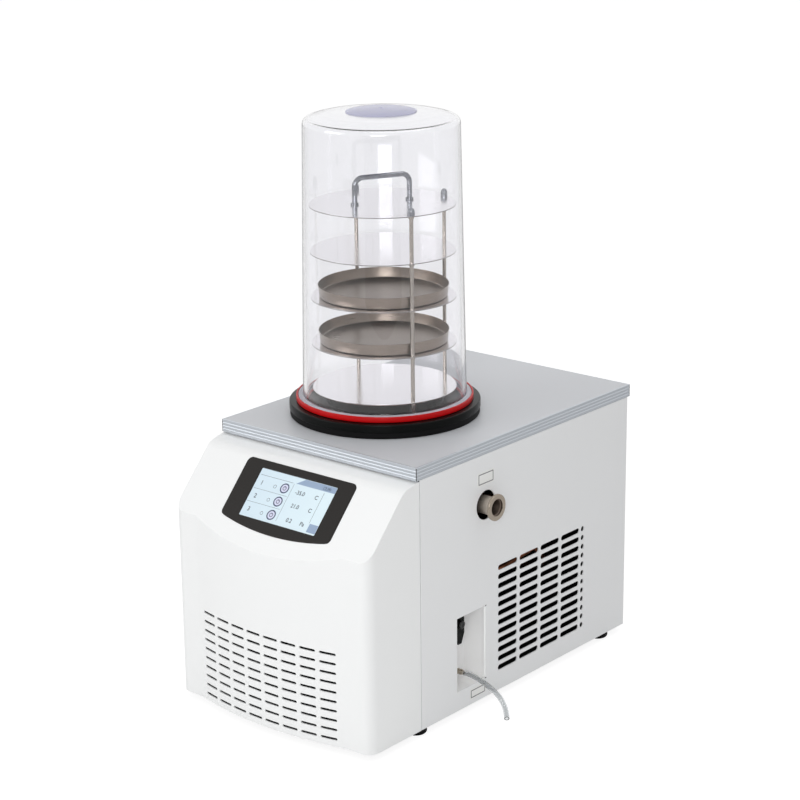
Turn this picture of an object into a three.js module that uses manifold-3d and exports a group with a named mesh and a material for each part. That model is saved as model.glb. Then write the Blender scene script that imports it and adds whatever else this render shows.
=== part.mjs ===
// Bench-top freeze dryer: a cabinet with a refrigerated cold trap, and a clear bell jar over a rack of trays.
// Millimetres. +Z is up, the front is -Y and the suction port is on the +X side.
// The model is built about the middle of the cabinet at floor level, and the group is shifted at the end
// so that its origin is the middle of the bounding box's base, the hose left out.
import * as THREE from "three";
import { mergeVertices } from "three/addons/utils/BufferGeometryUtils.js";
import Module from "manifold-3d";

// ---------- Driving dimensions ----------
const FIT = 0.3; // gap between pieces that touch
const CUT = 6; // how far a cutting tool runs past what it cuts
const BIG_ROUND = 36; // segments round the chamber

const CABINET_WIDTH = 386;
const CABINET_DEPTH = 536; // worktop, front edge to rear edge
const WORKTOP_HEIGHT = 422; // top of the worktop above the floor
const FOOT_HEIGHT = 11;
const FOOT_RADIUS = 17;
const FOOT_EDGE = 3; // chamfer round its base
const FOOT_FROM_SIDE = 19;
const FRONT_FEET_FROM_EDGE = 16; // from the worktop's front edge
const REAR_FEET_FROM_EDGE = 53;
const SHEET = 1.8; // steel sheet of the panels
const REAR_INSET = 6; // rear panel, in front of the worktop's rear edge
const PAN_EDGE = 20;
const FLANGE = 14; // folded edges of the panels
const RAIL_DEPTH = 18; // of the rail under the worktop's front edge

const TRIM_HEIGHT = 20;
const TRIM_WALL = 2.4;
const TRIM_LEDGE = 12;
const TRIM_FOLD = 2; // thickness of its two ledges
const TRIM_GROOVE = 0.6; // depth, also of the chamfer along its top
const TRIM_GROOVE_HALF = 0.8; // half a groove's width
const PLATE_THICK = 3;

const COVER_REACH = 109.5; // front cover at its corners, from the worktop's front edge
const COVER_BOW = 19; // how much further it reaches in the middle
const COVER_BOW_HALF = 147; // half the width of the bowed stretch
const COVER_CORNER = 18;
const COVER_EDGE = 5; // rounding of the visor's side edges
const COVER_WALL = 2;
const COVER_SEAM = 7.6; // joint with the side panels, behind the worktop's front edge
const COVER_GAP = 2; // between the trim and the cover's upper edge
const COVER_SLOPE = 6.2; // fall of its top slope
const COVER_TUCK = 3; // how far its upper edge runs back under the worktop
const SHOULDER_REACH = 28;
const SHOULDER_ROUND = 12;
const CREASE_ROUND = 5;
const VISOR_ANGLE = THREE.MathUtils.degToRad(47.1);

const FRONT_SLOT = {
  length: 28, height: 4, pitch: 34, rise: 14.8, columns: 8, rows: 10, lowest: 23, ends: 2, deep: 80,
};
const SIDE_SLOT = {
  length: 48.9, height: 8.8, pitch: 54, rise: 14.9, columns: 4, rows: 12, lowest: 48, ends: 3, deep: 30,
};
const LEFT_SLOT = { ...SIDE_SLOT, rows: 8 };
const SIDE_SLOT_FROM_FRONT = 191.5; // worktop's front edge to the first slot
const SIDE_HOLE_RADIUS = 4.4; // last column of the right-hand vent, small round holes
const SIDE_HOLE_GAP = 8.6;

const BEZEL_TOP = 6.9; // down the visor from its shoulder
const BEZEL_SAG = 13.3; // how far its lower edge bows down
const BEZEL_CORNER = 9;
const BEZEL_THICK = 1.5;
const BEZEL_PROUD = 0.6;
const SCREEN_WIDTH = 149.6;
const SCREEN_HEIGHT = 79.6;
const SCREEN_LEFT = 69.8; // from the middle of the cabinet
const SCREEN_LEFT_MARGIN = 34.2; // bezel round the screen
const SCREEN_RIGHT_MARGIN = 31.7;
const SCREEN_TOP_MARGIN = 12.5;
const SCREEN_LOW_MARGIN = 5.3; // down to where the bezel's straight sides end
const SCREEN_THICK = 5;
const BOARD_THICK = 1.6;
const BOARD_MARGIN = 12;

const CHAMBER_FROM_LEFT = 169.2;
const CHAMBER_FROM_FRONT = 186.7;
const TRAP_DEPTH = 206; // below the collar seat
const TRAP_WALL = 2;
const WELL_GAP = 2; // between the trap and the hole in the worktop
const TRAP_INSET = 15.8; // its inside, inside the rods' circle
const GASKET_HEIGHT = 9.5;
const GASKET_INSET = 1.1; // behind the collar's outside
const COLLAR_MARGIN = 10.9; // beyond the seal
const COLLAR_TOP = 21.9; // above the worktop
const COLLAR_LIP = 4; // its bore, beyond the trap's inside
const COLLAR_EDGE = 1.5; // chamfer round its top
const COLLAR_HOLD = 19.6; // width of the collar outside the trap's flange
const SEAL_MARGIN = 10.5; // beyond the bell's wall
const SEAL_WALL = 3;
const SEAL_FLOOR = 2.5;
const SEAL_EDGE = 1; // rounding of its outer edges
const SEAL_TOP = 31;
const SEAL_LIP = 1.6; // inside the bell's wall
const BELL_WALL = 6;
const BELL_FOOT_RADIUS = 126.2;
const BELL_TAPER = 7.8; // how much narrower its head is
const BELL_ROOM = 98.6; // above the rack's handle
const BELL_FOOT = 6; // thickness of its foot flange
const BELL_EDGE = 1.5; // rounding of its foot
const BELL_SHOULDER = 8;
const BELL_DOME = 12.5; // rise from shoulder to apex
const BELL_BOSS_RADIUS = 56;
const BELL_BOSS_HEIGHT = 4.5;
const COIL_WIRE = 4; // radius of the coil's tube
const COIL_TURNS = 2.5;
const COIL_STEPS = 18; // steps in one turn
const COIL_PITCH = 20;
const FOAM_WALL = 25;
const FOAM_FLOOR = 21;

const SHELF_GAP = 1.75; // to the bell's inside, at its head
const SHELF_THICK = 1.5;
const SHELF_LOWEST = 41.5; // above the worktop
const SHELF_PITCH = 71.1;
const SHELF_COUNT = 5;
const ROD_RADIUS = 3;
const ROD_INSET = 6.85; // from the shelves' edge
const ROD_TURN = THREE.MathUtils.degToRad(64.1); // first rod, from +X
const ROD_COLLAR = 4.2;
const ROD_FOOT = 5;
const NUT_RADIUS = 5.5;
const NUT_HEIGHT = 12;
const HANDLE_SPAN = 90;
const HANDLE_HEIGHT = 44;
const HANDLE_TUBE = 4;
const HANDLE_CORNER = 13;
const TRAY_GAP = 0.8; // to the rods
const TRAY_TAPER = 2;
const TRAY_HEIGHT = 18;
const TRAY_WALL = 1;
const TRAY_SHELVES = [1, 2]; // which shelves hold a tray, counted from the lowest

const PORT_FROM_FRONT = 162;
const PORT_DROP = 100; // centre below the worktop
const PORT_HOLE = 23;
const PORT_TUBE = 14;
const PORT_BORE = 11.75;
const PORT_FLANGE = 20.5;
const PORT_REACH = 21; // flange's face beyond the side panel
const PORT_FLANGE_THICK = 8; // with its conical back
const PORT_RIM = 3.5;
const PORT_STEP = 1.6;
const PORT_LABEL = { width: 40, height: 21, behind: -1, above: 43 }; // from the port's axis

const RECESS_WIDTH = 69.5;
const RECESS_HEIGHT = 119;
const RECESS_DEPTH = 43;
const RECESS_FROM_FRONT = 126.2; // its middle
const RECESS_LOW = 42; // its lower edge above the floor
const LEVER_RISE = 94; // pivot above the recess's lower edge
const LEVER_LENGTH = 33;
const LEVER_HALF = 11;
const LEVER_TOP = 17; // above the pivot
const LEVER_ROUND = 3;
const LEVER_TIP = 4.5;
const LEVER_TAPER = 17;
const LEVER_THICK = 6;
const LEVER_SET = 28; // its back face, inside the panel
const STEM_RADIUS = 3.5;
const VALVE_SHANK = 4.7; // radius, through the recess's back wall
const BARB_RISE = 16.5; // above the recess's lower edge
const BARB_REACH = 29; // from the recess's back wall
const RECESS_LABEL = { width: 39, height: 17, behind: 15, above: -14.5 }; // from the recess's lower edge
const LABEL_THICK = 0.6;
const LABEL_GLUE = 0.05;

const FAN_HEIGHT = 90;
const FAN_RADIUS = 66;
const CONDENSER = { width: 250, depth: 38, height: 150, reach: 44 };
const MOTOR_RADIUS = 30;
const COMPRESSOR = { x: -40, fromRear: 118, radius: 74, height: 180 };
const PIPE_RADIUS = 4;
const PIPE_GAP = 0.5; // between two pipes brazed end to end
const INLET = { width: 30, height: 62, fromSide: 60, low: 45, depth: 24, rim: 3, plate: 2.5 };
const ROCKER_TILT_GAP = 1.2;
const HOSE_RADIUS = 4;

// ---------- Places worked out from them ----------
const SIDE = CABINET_WIDTH / 2;
const FRONT = -CABINET_DEPTH / 2;
const REAR = CABINET_DEPTH / 2;
const TOP = WORKTOP_HEIGHT;
const SEAM = FRONT + COVER_SEAM;
const COVER_TOP_DROP = TRIM_HEIGHT + COVER_GAP; // cover's upper edge below the worktop
const SHOULDER_DROP = COVER_TOP_DROP + COVER_SLOPE; // where its top slope meets the visor
const BEZEL_LEFT = SCREEN_LEFT + SCREEN_LEFT_MARGIN;
const BEZEL_RIGHT = SCREEN_WIDTH - SCREEN_LEFT + SCREEN_RIGHT_MARGIN;
const BEZEL_SIDE = SCREEN_TOP_MARGIN + SCREEN_HEIGHT + SCREEN_LOW_MARGIN; // its straight sides
const SCREEN_TOP = BEZEL_TOP + SCREEN_TOP_MARGIN;
const PAN_TOP = FOOT_HEIGHT + SHEET;
const PAN_SIDE = SIDE - Math.max(COVER_WALL, SHEET) - FIT;
const REAR_FACE = REAR - REAR_INSET;
const CARRY = TOP - TRIM_HEIGHT - FIT; // what the trims stand on
const CHAMBER = [-SIDE + CHAMBER_FROM_LEFT, FRONT + CHAMBER_FROM_FRONT];
const COLLAR_SEAT = TOP + GASKET_HEIGHT + FIT;
const SEAL_RADIUS = BELL_FOOT_RADIUS + SEAL_MARGIN;
const SEAL_BORE = BELL_FOOT_RADIUS - BELL_WALL - SEAL_LIP;
const SEAL_LOW = TOP + COLLAR_TOP + FIT;
const COLLAR_RADIUS = SEAL_RADIUS + COLLAR_MARGIN;
const GASKET_RADIUS = COLLAR_RADIUS - GASKET_INSET;
const BELL_LOW = SEAL_LOW + SEAL_FLOOR + FIT;
const BELL_FLANGE = SEAL_RADIUS - SEAL_WALL - FIT;
const BELL_HEAD_RADIUS = BELL_FOOT_RADIUS - BELL_TAPER;
const RACK_TOP = TOP + SHELF_LOWEST + (SHELF_COUNT - 1) * SHELF_PITCH + SHELF_THICK; // of its shelves
const BELL_HEIGHT = RACK_TOP + HANDLE_HEIGHT + BELL_ROOM - BELL_LOW;
const SHELF_RADIUS = BELL_HEAD_RADIUS - BELL_WALL - SHELF_GAP;
const ROD_CIRCLE = SHELF_RADIUS - ROD_INSET;
const TRAY_RADIUS = ROD_CIRCLE - ROD_RADIUS - TRAY_GAP;
const TRAP_RADIUS = ROD_CIRCLE - TRAP_INSET;
const TRAP_FLANGE = COLLAR_RADIUS - COLLAR_HOLD;
const COLLAR_BORE = TRAP_RADIUS + COLLAR_LIP;
const TRAP_OUTER = TRAP_RADIUS + TRAP_WALL;
const TRAP_LOW = COLLAR_SEAT - TRAP_DEPTH;
const COIL_CIRCLE = (TRAP_OUTER + 0.5 + COIL_WIRE) / Math.cos(Math.PI / COIL_STEPS);
const FOAM_BORE = (COIL_CIRCLE + COIL_WIRE + 0.5) / Math.cos(Math.PI / BIG_ROUND);
const FOAM_RADIUS = FOAM_BORE + FOAM_WALL;
const FOAM_LOW = TRAP_LOW - FIT - FOAM_FLOOR;
const PORT = [FRONT + PORT_FROM_FRONT, TOP - PORT_DROP];
const RECESS_Y = FRONT + RECESS_FROM_FRONT;
const RECESS_BACK = SIDE - RECESS_DEPTH;
const LEVER_HEIGHT = RECESS_LOW + LEVER_RISE;
const BARB_HEIGHT = RECESS_LOW + BARB_RISE;
const FAN_FRONT = FRONT - CONDENSER.reach + FIT; // front face of the shroud

// ---------- Materials ----------
function surface(color, roughness, metalness, extra = {}) {
  return new THREE.MeshStandardMaterial({ color, roughness, metalness, ...extra });
}
const MATERIALS = {
  white_enamel: surface(0xf1f2f3, 0.45, 0.0),
  white_plastic: surface(0xf4f5f6, 0.4, 0.0),
  grey_plate: surface(0xa9acaf, 0.4, 0.6),
  aluminium: surface(0xa6a8ab, 0.35, 0.9),
  galvanised: surface(0x9a9da0, 0.5, 0.8),
  black_enamel: surface(0x101112, 0.35, 0.0),
  black_rubber: surface(0x141416, 0.7, 0.0),
  black_plastic: surface(0x1a1513, 0.3, 0.0),
  black_foam: surface(0x202022, 0.95, 0.0),
  red_silicone: surface(0xc21f26, 0.4, 0.0),
  clear_acrylic: surface(0xf4f8fa, 0.05, 0.0, { transparent: true, opacity: 0.3 }),
  clear_hose: surface(0xe6e8e4, 0.3, 0.0, { transparent: true, opacity: 0.6 }),
  stainless: surface(0xb9b6b2, 0.25, 1.0),
  chrome: surface(0xd0d2d4, 0.1, 1.0),
  brass: surface(0xb5924c, 0.3, 1.0),
  copper: surface(0xb06a45, 0.35, 1.0),
  screen: surface(0xd4ebf5, 0.15, 0.0),
  circuit_board: surface(0x1f5a38, 0.6, 0.0),
  label_film: surface(0xf0f0ee, 0.5, 0.0),
};

// ---------- Solids ----------
const wasm = await Module();
wasm.setup();

/** A three.js geometry as a manifold-3d solid, with its faces pointing out. */
function solid(geometry) {
  const bare = geometry.index ? geometry.toNonIndexed() : geometry.clone();
  bare.deleteAttribute("normal");
  bare.deleteAttribute("uv");
  const merged = mergeVertices(bare, 1e-3);
  const faces = [];
  for (let i = 0; i < merged.index.count; i += 3) {
    const face = [0, 1, 2].map((k) => merged.index.getX(i + k));
    if (new Set(face).size === 3) faces.push(face);
  }
  const build = (list) =>
    new wasm.Manifold(
      new wasm.Mesh({
        numProp: 3,
        vertProperties: new Float32Array(merged.attributes.position.array),
        triVerts: new Uint32Array(list.flat()),
      }),
    );
  const made = build(faces);
  return made.volume() < 0 ? build(faces.map(([a, b, c]) => [a, c, b])) : made;
}

/** A solid back as a three.js geometry. */
function geometryOf(made) {
  const mesh = made.getMesh();
  const geometry = new THREE.BufferGeometry();
  geometry.setAttribute("position", new THREE.BufferAttribute(mesh.vertProperties, 3));
  geometry.setIndex(new THREE.BufferAttribute(mesh.triVerts, 1));
  geometry.computeVertexNormals();
  return geometry;
}

const join = (...solids) => solids.reduce((sum, next) => sum.add(next));
const cut = (body, ...tools) => tools.reduce((rest, tool) => rest.subtract(tool), body);

/** A box between two corners. */
function box([x0, y0, z0], [x1, y1, z1]) {
  const geometry = new THREE.BoxGeometry(x1 - x0, y1 - y0, z1 - z0);
  return solid(geometry.translate((x0 + x1) / 2, (y0 + y1) / 2, (z0 + z1) / 2));
}

/** Turns a body made about +Z so that its axis points along +X, +Y or +Z, and moves it to a place. */
function place(geometry, axis, [x, y, z]) {
  if (axis === "x") geometry.rotateY(Math.PI / 2);
  if (axis === "y") geometry.rotateX(-Math.PI / 2);
  return geometry.translate(x, y, z);
}

/** A profile of [radius, height] points turned about an axis through a place. */
function turned(profile, at, { axis = "z", segments = 24 } = {}) {
  const points = profile.map(([radius, height]) => new THREE.Vector2(radius, height));
  return solid(place(new THREE.LatheGeometry(points, segments).rotateX(Math.PI / 2), axis, at));
}

/** A ring or a plain round bar: outer radius, inner radius (0 for a bar), from one height to another. */
function ring(outer, inner, low, high, at, options) {
  const profile = [[inner, low], [outer, low], [outer, high], [inner, high]];
  if (inner > 0) profile.push([inner, low]);
  return turned(profile, at, options);
}

/** A shape from a list of [x, y] points. */
const shapeOf = (outline) => new THREE.Shape(outline.map(([x, y]) => new THREE.Vector2(x, y)));

/** An outline of [y, z] points pushed along +X by a depth, from a place. */
function prism(outline, depth, at) {
  const geometry = new THREE.ExtrudeGeometry(shapeOf(outline), { depth, bevelEnabled: false });
  const [x, y, z] = [[1, 0, 0], [0, 1, 0], [0, 0, 1]].map((axis) => new THREE.Vector3(...axis));
  return solid(geometry.applyMatrix4(new THREE.Matrix4().makeBasis(y, z, x)).translate(...at));
}

/** A round tube or bar along a smooth curve through points. */
function tube(points, radius, { sides = 6, steps = 12 } = {}) {
  const path = new THREE.CatmullRomCurve3(points.map((p) => new THREE.Vector3(...p)), false, "centripetal");
  const section = shapeOf(arc([0, 0], radius, 0, 2 * Math.PI * (1 - 1 / sides), sides - 1));
  return solid(new THREE.ExtrudeGeometry(section, { steps, extrudePath: path }));
}

/** Points along an arc, both ends included. */
function arc([x, y], radius, from, to, steps) {
  return Array.from({ length: steps + 1 }, (_, i) => {
    const angle = from + ((to - from) * i) / steps;
    return [x + radius * Math.cos(angle), y + radius * Math.sin(angle)];
  });
}

/** A rectangle with rounded corners, as an outline. */
function roundedBox(x0, y0, x1, y1, radius, steps = 3) {
  const quarter = Math.PI / 2;
  return [
    ...arc([x1 - radius, y0 + radius], radius, -quarter, 0, steps),
    ...arc([x1 - radius, y1 - radius], radius, 0, quarter, steps),
    ...arc([x0 + radius, y1 - radius], radius, quarter, 2 * quarter, steps),
    ...arc([x0 + radius, y0 + radius], radius, 2 * quarter, 3 * quarter, steps),
  ];
}

/** Slots with round ends at a grid of centres, joined into one cutting tool along an axis. */
function slotGrid(slot, firstCentre, depth, at, axis) {
  const radius = slot.height / 2;
  const shapes = [];
  for (let column = 0; column < slot.columns; column++)
    for (let row = 0; row < slot.rows; row++) {
      const u = firstCentre[0] + column * slot.pitch;
      const v = firstCentre[1] + row * slot.rise;
      const half = slot.length / 2 - radius;
      const outline = [
        ...arc([u + half, v], radius, -Math.PI / 2, Math.PI / 2, slot.ends),
        ...arc([u - half, v], radius, Math.PI / 2, (3 * Math.PI) / 2, slot.ends),
      ];
      shapes.push(shapeOf(outline));
    }
  const geometry = new THREE.ExtrudeGeometry(shapes, { depth, bevelEnabled: false });
  // The outline's first axis runs along the cabinet and its second one is up.
  geometry.rotateX(Math.PI / 2);
  if (axis === "x") geometry.rotateZ(Math.PI / 2);
  return solid(geometry.translate(...at));
}

const group = new THREE.Group();

/** Adds a named piece. */
function piece(name, made, material) {
  const mesh = new THREE.Mesh(geometryOf(made), MATERIALS[material]);
  mesh.name = name;
  group.add(mesh);
  return mesh;
}

// ---------- Front cover ----------
/** The smaller of two values, with the corner between them rounded over a stretch of 2k. */
function softMin(a, b, k) {
  const blend = Math.max(k - Math.abs(a - b), 0) / k;
  return Math.min(a, b) - (blend * blend * k) / 4;
}

/** How far the upright front reaches at a place across the cabinet. */
function frontReach(x) {
  const radius = (COVER_BOW_HALF ** 2 + COVER_BOW ** 2) / (2 * COVER_BOW);
  const across = Math.abs(x);
  const bow = across < COVER_BOW_HALF ? Math.sqrt(radius ** 2 - x ** 2) - (radius - COVER_BOW) : 0;
  const past = Math.max(across - (SIDE - COVER_CORNER), 0);
  return COVER_REACH + bow - COVER_CORNER + Math.sqrt(Math.max(COVER_CORNER ** 2 - past ** 2, 0));
}

/** Drops and reaches of the cover's side profile, from the upper edge down to the end of the visor. */
function visorProfile() {
  const slope = Math.atan2(COVER_SLOPE, SHOULDER_REACH + COVER_TUCK);
  const turn = VISOR_ANGLE - slope;
  const run = SHOULDER_ROUND * Math.tan(turn / 2);
  const centre = [
    SHOULDER_REACH - run * Math.cos(slope) - SHOULDER_ROUND * Math.sin(slope),
    SHOULDER_DROP - run * Math.sin(slope) + SHOULDER_ROUND * Math.cos(slope),
  ];
  const round = arc(centre, SHOULDER_ROUND, slope - Math.PI / 2, VISOR_ANGLE - Math.PI / 2, 4);
  // Levels close together where the visor meets the bowed front.
  const reaches = [-9, -4, 0, 4, 8, 13, 18, 26].map((past) => COVER_REACH + past);
  const drop = (reach) => SHOULDER_DROP + (reach - SHOULDER_REACH) * Math.tan(VISOR_ANGLE);
  return [[-COVER_TUCK, COVER_TOP_DROP], ...round, ...reaches.map((reach) => [reach, drop(reach)])];
}

/** Places across the cabinet: between the slot columns, then close together round the corners. */
function crossStations() {
  const half = [0, 1, 2, 3, 4].map((i) => i * FRONT_SLOT.pitch);
  half.push(COVER_BOW_HALF + 4, SIDE - COVER_CORNER);
  const onRound = (radius, degrees) => SIDE - radius * (1 - Math.sin(THREE.MathUtils.degToRad(degrees)));
  for (const degrees of [16, 32]) half.push(onRound(COVER_CORNER, degrees));
  for (const degrees of [0, 25, 50, 72, 90]) half.push(onRound(COVER_EDGE, degrees));
  return [...half.slice(1).reverse().map((x) => -x), ...half];
}

/** A closed body lofted through level outlines of the same number of points. */
function loft(levels) {
  const count = levels[0].length;
  const positions = [];
  const quad = (a, b, c, d) => positions.push(...a, ...b, ...c, ...a, ...c, ...d);
  for (let i = 0; i + 1 < levels.length; i++)
    for (let j = 0; j < count; j++) {
      const k = (j + 1) % count;
      quad(levels[i][j], levels[i][k], levels[i + 1][k], levels[i + 1][j]);
    }
  for (const [level, flip] of [[levels[0], true], [levels.at(-1), false]]) {
    const flat = level.map(([x, y]) => new THREE.Vector2(x, y));
    for (const face of THREE.ShapeUtils.triangulateShape(flat, []))
      for (const index of flip ? [...face].reverse() : face) positions.push(...level[index]);
  }
  const geometry = new THREE.BufferGeometry();
  geometry.setAttribute("position", new THREE.Float32BufferAttribute(positions, 3));
  return solid(geometry);
}

/** The cover's bulk, drawn in by a wall thickness, down to a height, from a place behind the seam. */
function coverBulk(inset, low, back) {
  const profile = visorProfile();
  const last = profile.at(-1)[0];
  const outline = (reach, drop) => {
    const front = crossStations().map((x) => {
      const past = Math.max(Math.abs(x) - (SIDE - COVER_EDGE), 0);
      const edge = Math.sqrt(Math.max(COVER_EDGE ** 2 - past ** 2, 0)) - COVER_EDGE;
      const meets = Math.max(softMin(frontReach(x), reach + edge, CREASE_ROUND), -COVER_SEAM + 1);
      return [x * ((SIDE - inset) / SIDE), FRONT - meets + inset * 1.2, TOP - drop - inset * 1.2];
    });
    const height = front[0][2];
    return [...front, [SIDE - inset, back, height], [-SIDE + inset, back, height]];
  };
  const levels = profile.map(([reach, drop]) => outline(reach, drop));
  levels.push(outline(last, TOP - low - inset * 1.2));
  return loft(levels);
}

/** Moves a geometry drawn on the visor (x across, y up the slope, z out of it) to its place. */
function onVisor(geometry) {
  const across = new THREE.Vector3(1, 0, 0);
  const upSlope = new THREE.Vector3(0, Math.cos(VISOR_ANGLE), Math.sin(VISOR_ANGLE));
  const out = new THREE.Vector3(0, -Math.sin(VISOR_ANGLE), Math.cos(VISOR_ANGLE));
  const matrix = new THREE.Matrix4().makeBasis(across, upSlope, out);
  matrix.setPosition(0, FRONT - SHOULDER_REACH, TOP - SHOULDER_DROP);
  return solid(geometry.applyMatrix4(matrix));
}

/** A flat shape on the visor between two heights above its surface. */
function visorPlate(outline, low, high) {
  const geometry = new THREE.ExtrudeGeometry(shapeOf(outline), { depth: high - low, bevelEnabled: false });
  return onVisor(geometry.translate(0, 0, low));
}

/** The bezel's outline, grown by a gap: square-sided, with a bowed lower edge. */
function bezelOutline(gap) {
  const left = -BEZEL_LEFT - gap;
  const right = BEZEL_RIGHT + gap;
  const top = -BEZEL_TOP + gap;
  const low = -BEZEL_TOP - BEZEL_SIDE;
  const corner = BEZEL_CORNER + gap;
  const half = (right - left) / 2;
  const sag = BEZEL_SAG + gap;
  const bowRadius = (half ** 2 + sag ** 2) / (2 * sag);
  const reach = Math.asin((half - corner * 0.9) / bowRadius);
  const bow = arc([(left + right) / 2, low - sag + bowRadius], bowRadius, -Math.PI / 2 - reach,
    -Math.PI / 2 + reach, 10);
  return [
    ...bow,
    ...arc([right - corner, low + corner * 0.75], corner, -0.9, 0, 3),
    ...arc([right - corner, top - corner], corner, 0, Math.PI / 2, 4),
    ...arc([left + corner, top - corner], corner, Math.PI / 2, Math.PI, 4),
    ...arc([left + corner, low + corner * 0.75], corner, Math.PI, Math.PI + 0.9, 3),
  ];
}

/** The screen's outline, grown by a gap. */
function screenOutline(gap) {
  return roundedBox(-SCREEN_LEFT - gap, -SCREEN_TOP - SCREEN_HEIGHT - gap, -SCREEN_LEFT + SCREEN_WIDTH + gap,
    -SCREEN_TOP + gap, 1, 1);
}

function addFront() {
  const shell = cut(
    coverBulk(0, FOOT_HEIGHT, SEAM - FIT),
    coverBulk(COVER_WALL, FOOT_HEIGHT - CUT, SEAM + CUT),
  );
  const firstSlot = (-(FRONT_SLOT.columns - 1) / 2) * FRONT_SLOT.pitch;
  const slotsFrom = [0, FRONT - COVER_REACH + FRONT_SLOT.deep / 2, 0];
  const slots = slotGrid(FRONT_SLOT, [firstSlot, FRONT_SLOT.lowest], FRONT_SLOT.deep, slotsFrom, "y");
  const bezelSeat = visorPlate(bezelOutline(FIT), BEZEL_PROUD - BEZEL_THICK - FIT, CUT);
  const screenHole = visorPlate(screenOutline(2 * FIT), -3 * CUT, CUT);
  piece("front_cover", cut(shell, slots, bezelSeat, screenHole), "white_plastic");

  const bezel = visorPlate(bezelOutline(0), BEZEL_PROUD - BEZEL_THICK, BEZEL_PROUD);
  piece("screen_bezel", cut(bezel, visorPlate(screenOutline(FIT), -CUT, CUT)), "black_plastic");
  piece("touch_screen", visorPlate(screenOutline(0), -SCREEN_THICK, BEZEL_PROUD - FIT), "screen");
  const low = -SCREEN_THICK - FIT - BOARD_THICK;
  piece("display_board", visorPlate(screenOutline(BOARD_MARGIN), low, low + BOARD_THICK), "circuit_board");
}

// ---------- Cabinet ----------
function addPanels() {
  const panFront = FRONT - COVER_REACH + COVER_CORNER + FIT;
  const panBack = REAR_FACE - SHEET - FIT;
  const pan = box([-PAN_SIDE, panFront, FOOT_HEIGHT], [PAN_SIDE, panBack, PAN_TOP + PAN_EDGE]);
  const hollow = box([-PAN_SIDE + SHEET, panFront + SHEET, PAN_TOP],
    [PAN_SIDE - SHEET, panBack - SHEET, PAN_TOP + PAN_EDGE + CUT]);
  piece("base_pan", cut(pan, hollow), "galvanised");

  const inner = SIDE - SHEET;
  const railTop = CARRY;
  const railLow = CARRY - FLANGE;
  const railBack = SEAM + RAIL_DEPTH;
  const fold = SIDE - SHEET / 2; // folded edges run into the middle of the sheet
  piece("front_rail", cut(
    box([-inner + FIT, SEAM + FIT, railLow], [inner - FIT, railBack, railTop]),
    box([-inner - CUT, SEAM + FIT + SHEET, railLow - CUT], [inner + CUT, railBack + CUT, railTop - SHEET]),
  ), "galvanised");

  for (const [name, side] of [["left_panel", -1], ["right_panel", 1]]) {
    const span = (near, far, y0, y1, z0, z1) =>
      box([Math.min(side * near, side * far), y0, z0], [Math.max(side * near, side * far), y1, z1]);
    const flangeBack = REAR_FACE - SHEET - FLANGE - FIT;
    const flangeFront = SEAM + 2 * FIT;
    const flangeLow = PAN_TOP + PAN_EDGE + FIT;
    let panel = join(
      span(inner, SIDE, SEAM + FIT, REAR_FACE, FOOT_HEIGHT, CARRY),
      span(SIDE - FLANGE, fold, railBack + FIT, flangeBack, CARRY - FIT - SHEET, CARRY - FIT),
      span(SIDE - FLANGE, fold, flangeFront, flangeFront + SHEET, flangeLow, railLow - FIT),
    );
    const first = [FRONT + SIDE_SLOT_FROM_FRONT + SIDE_SLOT.length / 2, SIDE_SLOT.lowest];
    const slot = side > 0 ? SIDE_SLOT : LEFT_SLOT;
    panel = cut(panel, slotGrid(slot, first, slot.deep, [side * SIDE - slot.deep / 2, 0, 0], "x"));
    if (side > 0) {
      const lastEnd = first[0] + (SIDE_SLOT.columns - 1) * SIDE_SLOT.pitch + SIDE_SLOT.length / 2;
      const across = 2 * SIDE_HOLE_RADIUS;
      const dots = { ...slot, length: across, height: across, columns: 1 };
      const firstDot = [lastEnd + SIDE_HOLE_GAP, slot.lowest];
      panel = cut(
        panel,
        slotGrid(dots, firstDot, slot.deep, [SIDE - slot.deep / 2, 0, 0], "x"),
        ring(PORT_HOLE, 0, inner - CUT, SIDE + CUT, [0, ...PORT], { axis: "x", segments: 32 }),
        box([inner - CUT, RECESS_Y - RECESS_WIDTH / 2, RECESS_LOW],
          [SIDE + CUT, RECESS_Y + RECESS_WIDTH / 2, RECESS_LOW + RECESS_HEIGHT]),
      );
    }
    piece(name, panel, "white_enamel");
  }

  const inletX = -SIDE + INLET.fromSide;
  const rear = join(
    box([-inner + FIT, REAR_FACE - SHEET, PAN_TOP + FIT], [inner - FIT, REAR_FACE, CARRY]),
    box([-inner + FIT, REAR_FACE - SHEET - FLANGE, CARRY - SHEET], [inner - FIT, REAR_FACE, CARRY]),
  );
  const inletHalf = INLET.width / 2 - INLET.rim;
  piece("rear_panel", cut(rear, box(
    [inletX - inletHalf, REAR_FACE - CUT, INLET.low + INLET.rim],
    [inletX + inletHalf, REAR_FACE + CUT, INLET.low + INLET.height - INLET.rim],
  )), "white_enamel");
}

function addFeet() {
  const rows = [["front", FRONT + FRONT_FEET_FROM_EDGE], ["rear", REAR - REAR_FEET_FROM_EDGE]];
  for (const [row, y] of rows)
    for (const [hand, side] of [["left", -1], ["right", 1]]) {
      const seat = FOOT_HEIGHT - FIT;
      const profile = [
        [0, 0], [FOOT_RADIUS - FOOT_EDGE, 0], [FOOT_RADIUS, FOOT_EDGE],
        [FOOT_RADIUS - FOOT_EDGE / 2, seat], [0, seat],
      ];
      const at = [side * (SIDE - FOOT_FROM_SIDE), y, 0];
      piece(`foot_${row}_${hand}`, turned(profile, at, { segments: 12 }), "black_rubber");
    }
}

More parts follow.
